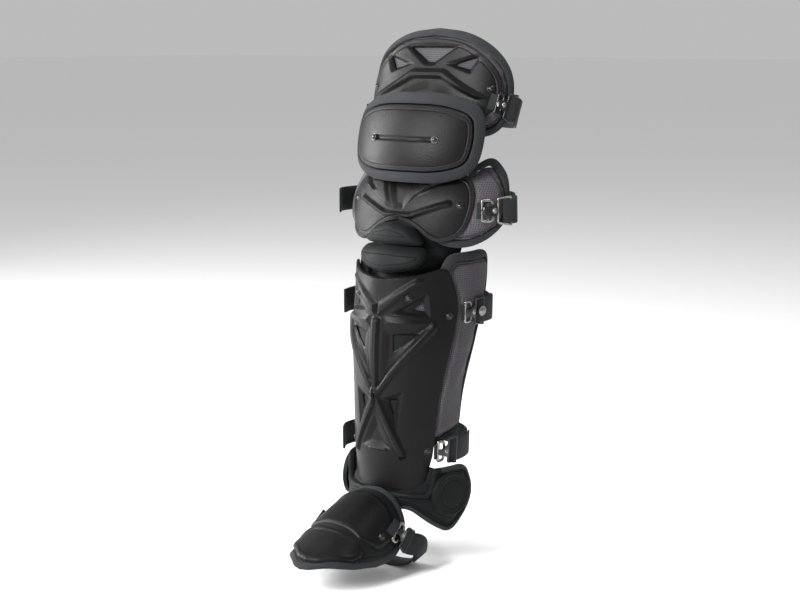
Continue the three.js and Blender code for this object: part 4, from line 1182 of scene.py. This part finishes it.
def ribbon(middle, wide, width, thickness):
    """Flat strip along a path: a section with rounded edges, width along the wide direction"""
    along = unit(np.gradient(middle, axis=0))
    wide = unit(wide - (wide * along).sum(1)[:, None] * along)
    face = unit(np.cross(along, wide))
    half, thin = width / 2, thickness / 2
    w = np.array([-half + 0.6, -half, -half, -half + 0.6, 0, half - 0.6, half, half,
                  half - 0.6, 0])
    h = np.array([-thin, -thin * 0.45, thin * 0.45, thin, thin * 1.08, thin, thin * 0.45,
                  -thin * 0.45, -thin, -thin])
    return (middle[:, None] + w[None, :, None] * wide[:, None]
            + h[None, :, None] * face[:, None])


def ribbon_piece(name, grid, skin, stands_for):
    """A strip with closed ends as a piece"""
    faces, uv = swept(grid, False)
    rows, around = grid.shape[:2]
    ends = [list(range(around))[::-1], list(range((rows - 1) * around, rows * around))]
    piece = mesh_piece(name, grid.reshape(-1, 3), faces, [finish(skin)], stands_for, ends)
    map_sweep(piece, grid, uv, False)
    piece.data.set_sharp_from_angle(angle=math.radians(60))
    return piece


def round_bar(flat, outline, centre, half_thick, half_wide, level, count=12):
    """Bar with an oval section carried round an outline on a flat place"""
    turn = np.arange(count) * 2 * math.pi / count
    distance = centre + half_wide * np.cos(turn)
    lift = level + half_thick * np.sin(turn)
    return sweep_outline(None, outline, distance, lift, flat)


class LEGGUARD_OT_straps(bpy.types.Operator):
    """Makes the elastic straps, their tabs, D rings and hooks"""
    bl_idname = "legguard.straps"
    bl_label = "Straps and hooks"

    def execute(self, context):
        for strap in STRAPS:
            self.make(strap)
        return {"FINISHED"}

    def make(self, strap):
        """One strap: band, tab, D ring, hook frame with its tongue and pin, and its snap if any"""
        name, width, reach = strap["name"], strap["width"], strap["reach"]
        flat = flat_place(strap["limb"], strap["across"], strap["up"], strap["lift"],
                          strap["roll"], strap["turn"])
        upward = flat(0, 1) - flat(0, 0)
        high = WIRE + FRAME_SEAT + CLEAR
        frame_from = reach + 1
        frame_to = frame_from + strap["frame"]
        self.band(strap, flat, upward, frame_to, high - FRAME_SEAT - STRAP / 2 - 1.6 * CLEAR)
        self.tab(strap, flat, upward)
        ring = outline_of([(0, -RING_HALF, 3), (reach, -RING_HALF, reach * 0.8),
                           (reach, RING_HALF, reach * 0.8), (0, RING_HALF, 3)], 1.2)
        grid = round_bar(flat, ring, WIRE, WIRE, WIRE, 0)
        self.bar(f"{name}_d_ring", grid, strap.get("ring", "steel"), "nickel_steel",
                 [f"{name}_d_ring"])
        half = width / 2 + FRAME_BAR + 0.5
        loop = outline_of([(frame_from, -half * 0.86, 2), (frame_to, -half, 2),
                           (frame_to, half, 2), (frame_from, half * 0.86, 2)], 1.2)
        grid = round_bar(flat, loop, FRAME_BAR / 2, 1.3, FRAME_BAR / 2, high)
        self.bar(f"{name}_hook", grid, strap["metal"], "black_metal", [f"{name}_hook"])
        self.tongue(name, flat, upward, frame_from, high)
        pin = flat_moved(flat, frame_from - 3.2, 0, high + 1.4)
        turned_piece(f"{name}_hook_pin", pin, [(r * 0.72, h * 0.8) for r, h in RIVET_PROFILE],
                     "steel", [], 24)
        if "snap" in strap:
            cap = flat_moved(flat, frame_to - 5, 0, high + STRAP)
            scale = strap["snap"] / RIVET_PROFILE[0][0]
            turned_piece(f"{name}_snap", cap, [(r * scale, h * 0.7) for r, h in RIVET_PROFILE],
                         "steel", [], 32)

    def band(self, strap, flat, upward, frame_to, under):
        """The webbing, its width along the ring at first and along its own axis further on,
        with its front end turned back round the frame's bar and sewn down on the outside"""
        name, width = strap["name"], strap["width"]
        start = [flat(frame_to - 10, 0, under), flat(frame_to - 5, 0, under),
                 flat(frame_to + 1, 0, under)]
        middle, at = smooth_path(start + [np.array(p, float) for p in strap["way"]], 1.6)
        share = np.clip((at / at[-1] - TWIST_FROM) / TWIST_OVER, 0, 1)
        ease = (share ** 2 * (3 - 2 * share))[:, None]
        wide = upward * (1 - ease) + np.array(strap["axis"], float) * ease
        grid = ribbon(middle, wide, width, STRAP)
        ribbon_piece(f"{name}_strap", grid, "webbing", [f"{name}_strap"])
        fold = at < TURNED_BACK
        along = unit(np.gradient(middle, axis=0))
        face = unit(np.cross(along, wide))
        outward = np.sign((face[0] * (flat(0, 0, 1) - flat(0, 0, 0))).sum())
        outer = middle[fold] + outward * face[fold] * (STRAP + 0.25)
        outer[:3] = outer[:3] - outward * face[:3] * np.array([1.4, 0.7, 0.2])[:, None]
        ply = ribbon(outer, wide[fold], width - 0.8, STRAP * 0.8)
        ribbon_piece(f"{name}_strap_fold", ply, "webbing", [])

    def tab(self, strap, flat, upward):
        """The short tab from the pad to the ring"""
        back = (strap["across"] - strap["tab"] * math.cos(strap["roll"]),
                strap["up"] - strap["tab"] * math.sin(strap["roll"]))
        foot = limb_point(strap["limb"], back[0], back[1],
                          strap["seat"] + STRAP / 2 + 2 * CLEAR)
        tab_path, _ = smooth_path([foot, (foot + flat(0.5, 0)) / 2, flat(0.5, 0)], 0.8)
        tab = ribbon(tab_path, np.broadcast_to(upward, tab_path.shape).copy(),
                     2 * RING_HALF - 8, STRAP)
        ribbon_piece(f"{strap['name']}_tab", tab, "webbing", [f"{strap['name']}_tab"])

    def tongue(self, name, flat, upward, frame_from, high):
        """The stamped tongue from the frame to the ring, with its turned nose"""
        reach_line = np.array([[frame_from + 1.5, high], [frame_from - 2, high + 0.9],
                               [6.5, high + 1.4], [3.2, high + 1.0], [1.4, high - 0.6],
                               [1.8, high - 2.6]])
        t = np.linspace(0, len(reach_line) - 1, 30)
        u = np.interp(t, np.arange(len(reach_line)), reach_line[:, 0])
        w = np.interp(t, np.arange(len(reach_line)), reach_line[:, 1])
        spread = np.interp(t, np.arange(len(reach_line)), [8.5, 7.0, 4.6, 4.0, 3.4, 3.0])
        path = flat(u, np.zeros_like(u), w)
        sheet = ribbon(path, np.broadcast_to(upward, path.shape).copy(), 2.0, 1.7)
        middle_line = path[:, None]
        across = ((sheet - middle_line) @ upward)[..., None] * upward
        sheet = sheet + across * (spread[:, None, None] - 1)
        ribbon_piece(f"{name}_hook_tongue", sheet, "coated", [])

    def bar(self, name, grid, skin, slot, nodes):
        """A closed bar as a piece"""
        faces, uv = swept(grid, True)
        piece = mesh_piece(name, grid.reshape(-1, 3), faces, [finish(skin)], nodes)
        map_sweep(piece, grid, uv, True)


def flat_moved(flat, u, v, w):
    """The same flat place with its middle moved"""
    return lambda a, b, c=0.0: flat(np.asarray(a, float) + u, np.asarray(b, float) + v,
                                    np.asarray(c, float) + w)


class LEGGUARD_OT_stage(bpy.types.Operator):
    """Sets the pale floor, the soft studio lights and the camera at the photograph's angle"""
    bl_idname = "legguard.stage"
    bl_label = "Stage"

    def execute(self, context):
        scene = context.scene
        low = CAD_BOX[0][2]
        size = 40.0
        mesh = bpy.data.meshes.new("floor")
        mesh.from_pydata([(-size, -size, low), (size, -size, low), (size, size, low),
                          (-size, size, low)], [], [(0, 1, 2, 3)])
        floor = bpy.data.objects.new("floor", mesh)
        scene.collection.objects.link(floor)
        material, _, shader = new_material("white_studio_paper")
        shader.inputs["Base Color"].default_value = shade(to_linear("#fafafa"), 1.0)
        shader.inputs["Roughness"].default_value = 0.9
        mesh.materials.append(material)
        turn, rise = math.radians(38), math.radians(10)
        away, seen, aside = 1.7, 0.92, -0.0146
        back = Vector((math.sin(turn) * math.cos(rise), -math.cos(turn) * math.cos(rise),
                       math.sin(rise)))
        target = Vector((math.cos(turn), math.sin(turn), 0)) * aside
        data = bpy.data.cameras.new("camera")
        data.sensor_width = 36
        data.lens = data.sensor_width * away / seen
        data.clip_start = 0.05
        camera = bpy.data.objects.new("camera", data)
        camera.location = target + back * away
        camera.rotation_euler = (-back).to_track_quat("-Z", "Y").to_euler()
        scene.collection.objects.link(camera)
        scene.camera = camera
        # Columns: name, place, power in watts, width, height
        for name, place, power, width, tall in (
                ("key", (-0.4, -2.0, 1.1), 72, 0.45, 1.1), ("side", (-1.9, -0.6, 0.5), 64, 0.5, 1.5),
                ("top", (0.2, 0.7, 2.1), 20, 0.9, 0.5)):
            light = bpy.data.lights.new(name, "AREA")
            light.energy = power
            light.shape = "RECTANGLE"
            light.size, light.size_y = width, tall
            lamp = bpy.data.objects.new(name, light)
            lamp.location = place
            lamp.rotation_euler = (-Vector(place)).to_track_quat("-Z", "Y").to_euler()
            scene.collection.objects.link(lamp)
        world = bpy.data.worlds.new("studio")
        world.use_nodes = True
        feed(world.node_tree, world.node_tree.nodes["Background"],
             {"Color": (1, 1, 1, 1), "Strength": 0.5})
        scene.world = world
        scene.view_settings.view_transform = "Standard"
        return {"FINISHED"}


class LEGGUARD_PT_panel(bpy.types.Panel):
    """Lists the leg guard's pieces"""
    bl_label = "Leg Guard"
    bl_idname = "LEGGUARD_PT_panel"
    bl_space_type = "VIEW_3D"
    bl_region_type = "UI"
    bl_category = "Leg Guard"

    def draw(self, context):
        scene = context.scene
        for group in (scene.legguard_sizes, scene.legguard_colours):
            for key in group.__annotations__:
                self.layout.prop(group, key)
        for operator in OPERATORS:
            self.layout.operator(operator.bl_idname)


OPERATORS = (LEGGUARD_OT_stage, LEGGUARD_OT_plates, LEGGUARD_OT_pads, LEGGUARD_OT_tapes,
             LEGGUARD_OT_panels, LEGGUARD_OT_fittings, LEGGUARD_OT_straps)
CLASSES = (LEGGUARD_PG_sizes, LEGGUARD_PG_colours, *OPERATORS, LEGGUARD_PT_panel)


def register():
    for cls in CLASSES:
        bpy.utils.register_class(cls)
    bpy.types.Scene.legguard_sizes = bpy.props.PointerProperty(type=LEGGUARD_PG_sizes)
    bpy.types.Scene.legguard_colours = bpy.props.PointerProperty(type=LEGGUARD_PG_colours)


def unregister():
    del bpy.types.Scene.legguard_colours
    del bpy.types.Scene.legguard_sizes
    for cls in reversed(CLASSES):
        bpy.utils.unregister_class(cls)


def main():
    register()
    for operator in ("stage", "plates", "pads", "tapes", "panels", "fittings", "straps"):
        getattr(bpy.ops.legguard, operator)()


if __name__ == "__main__":
    main()
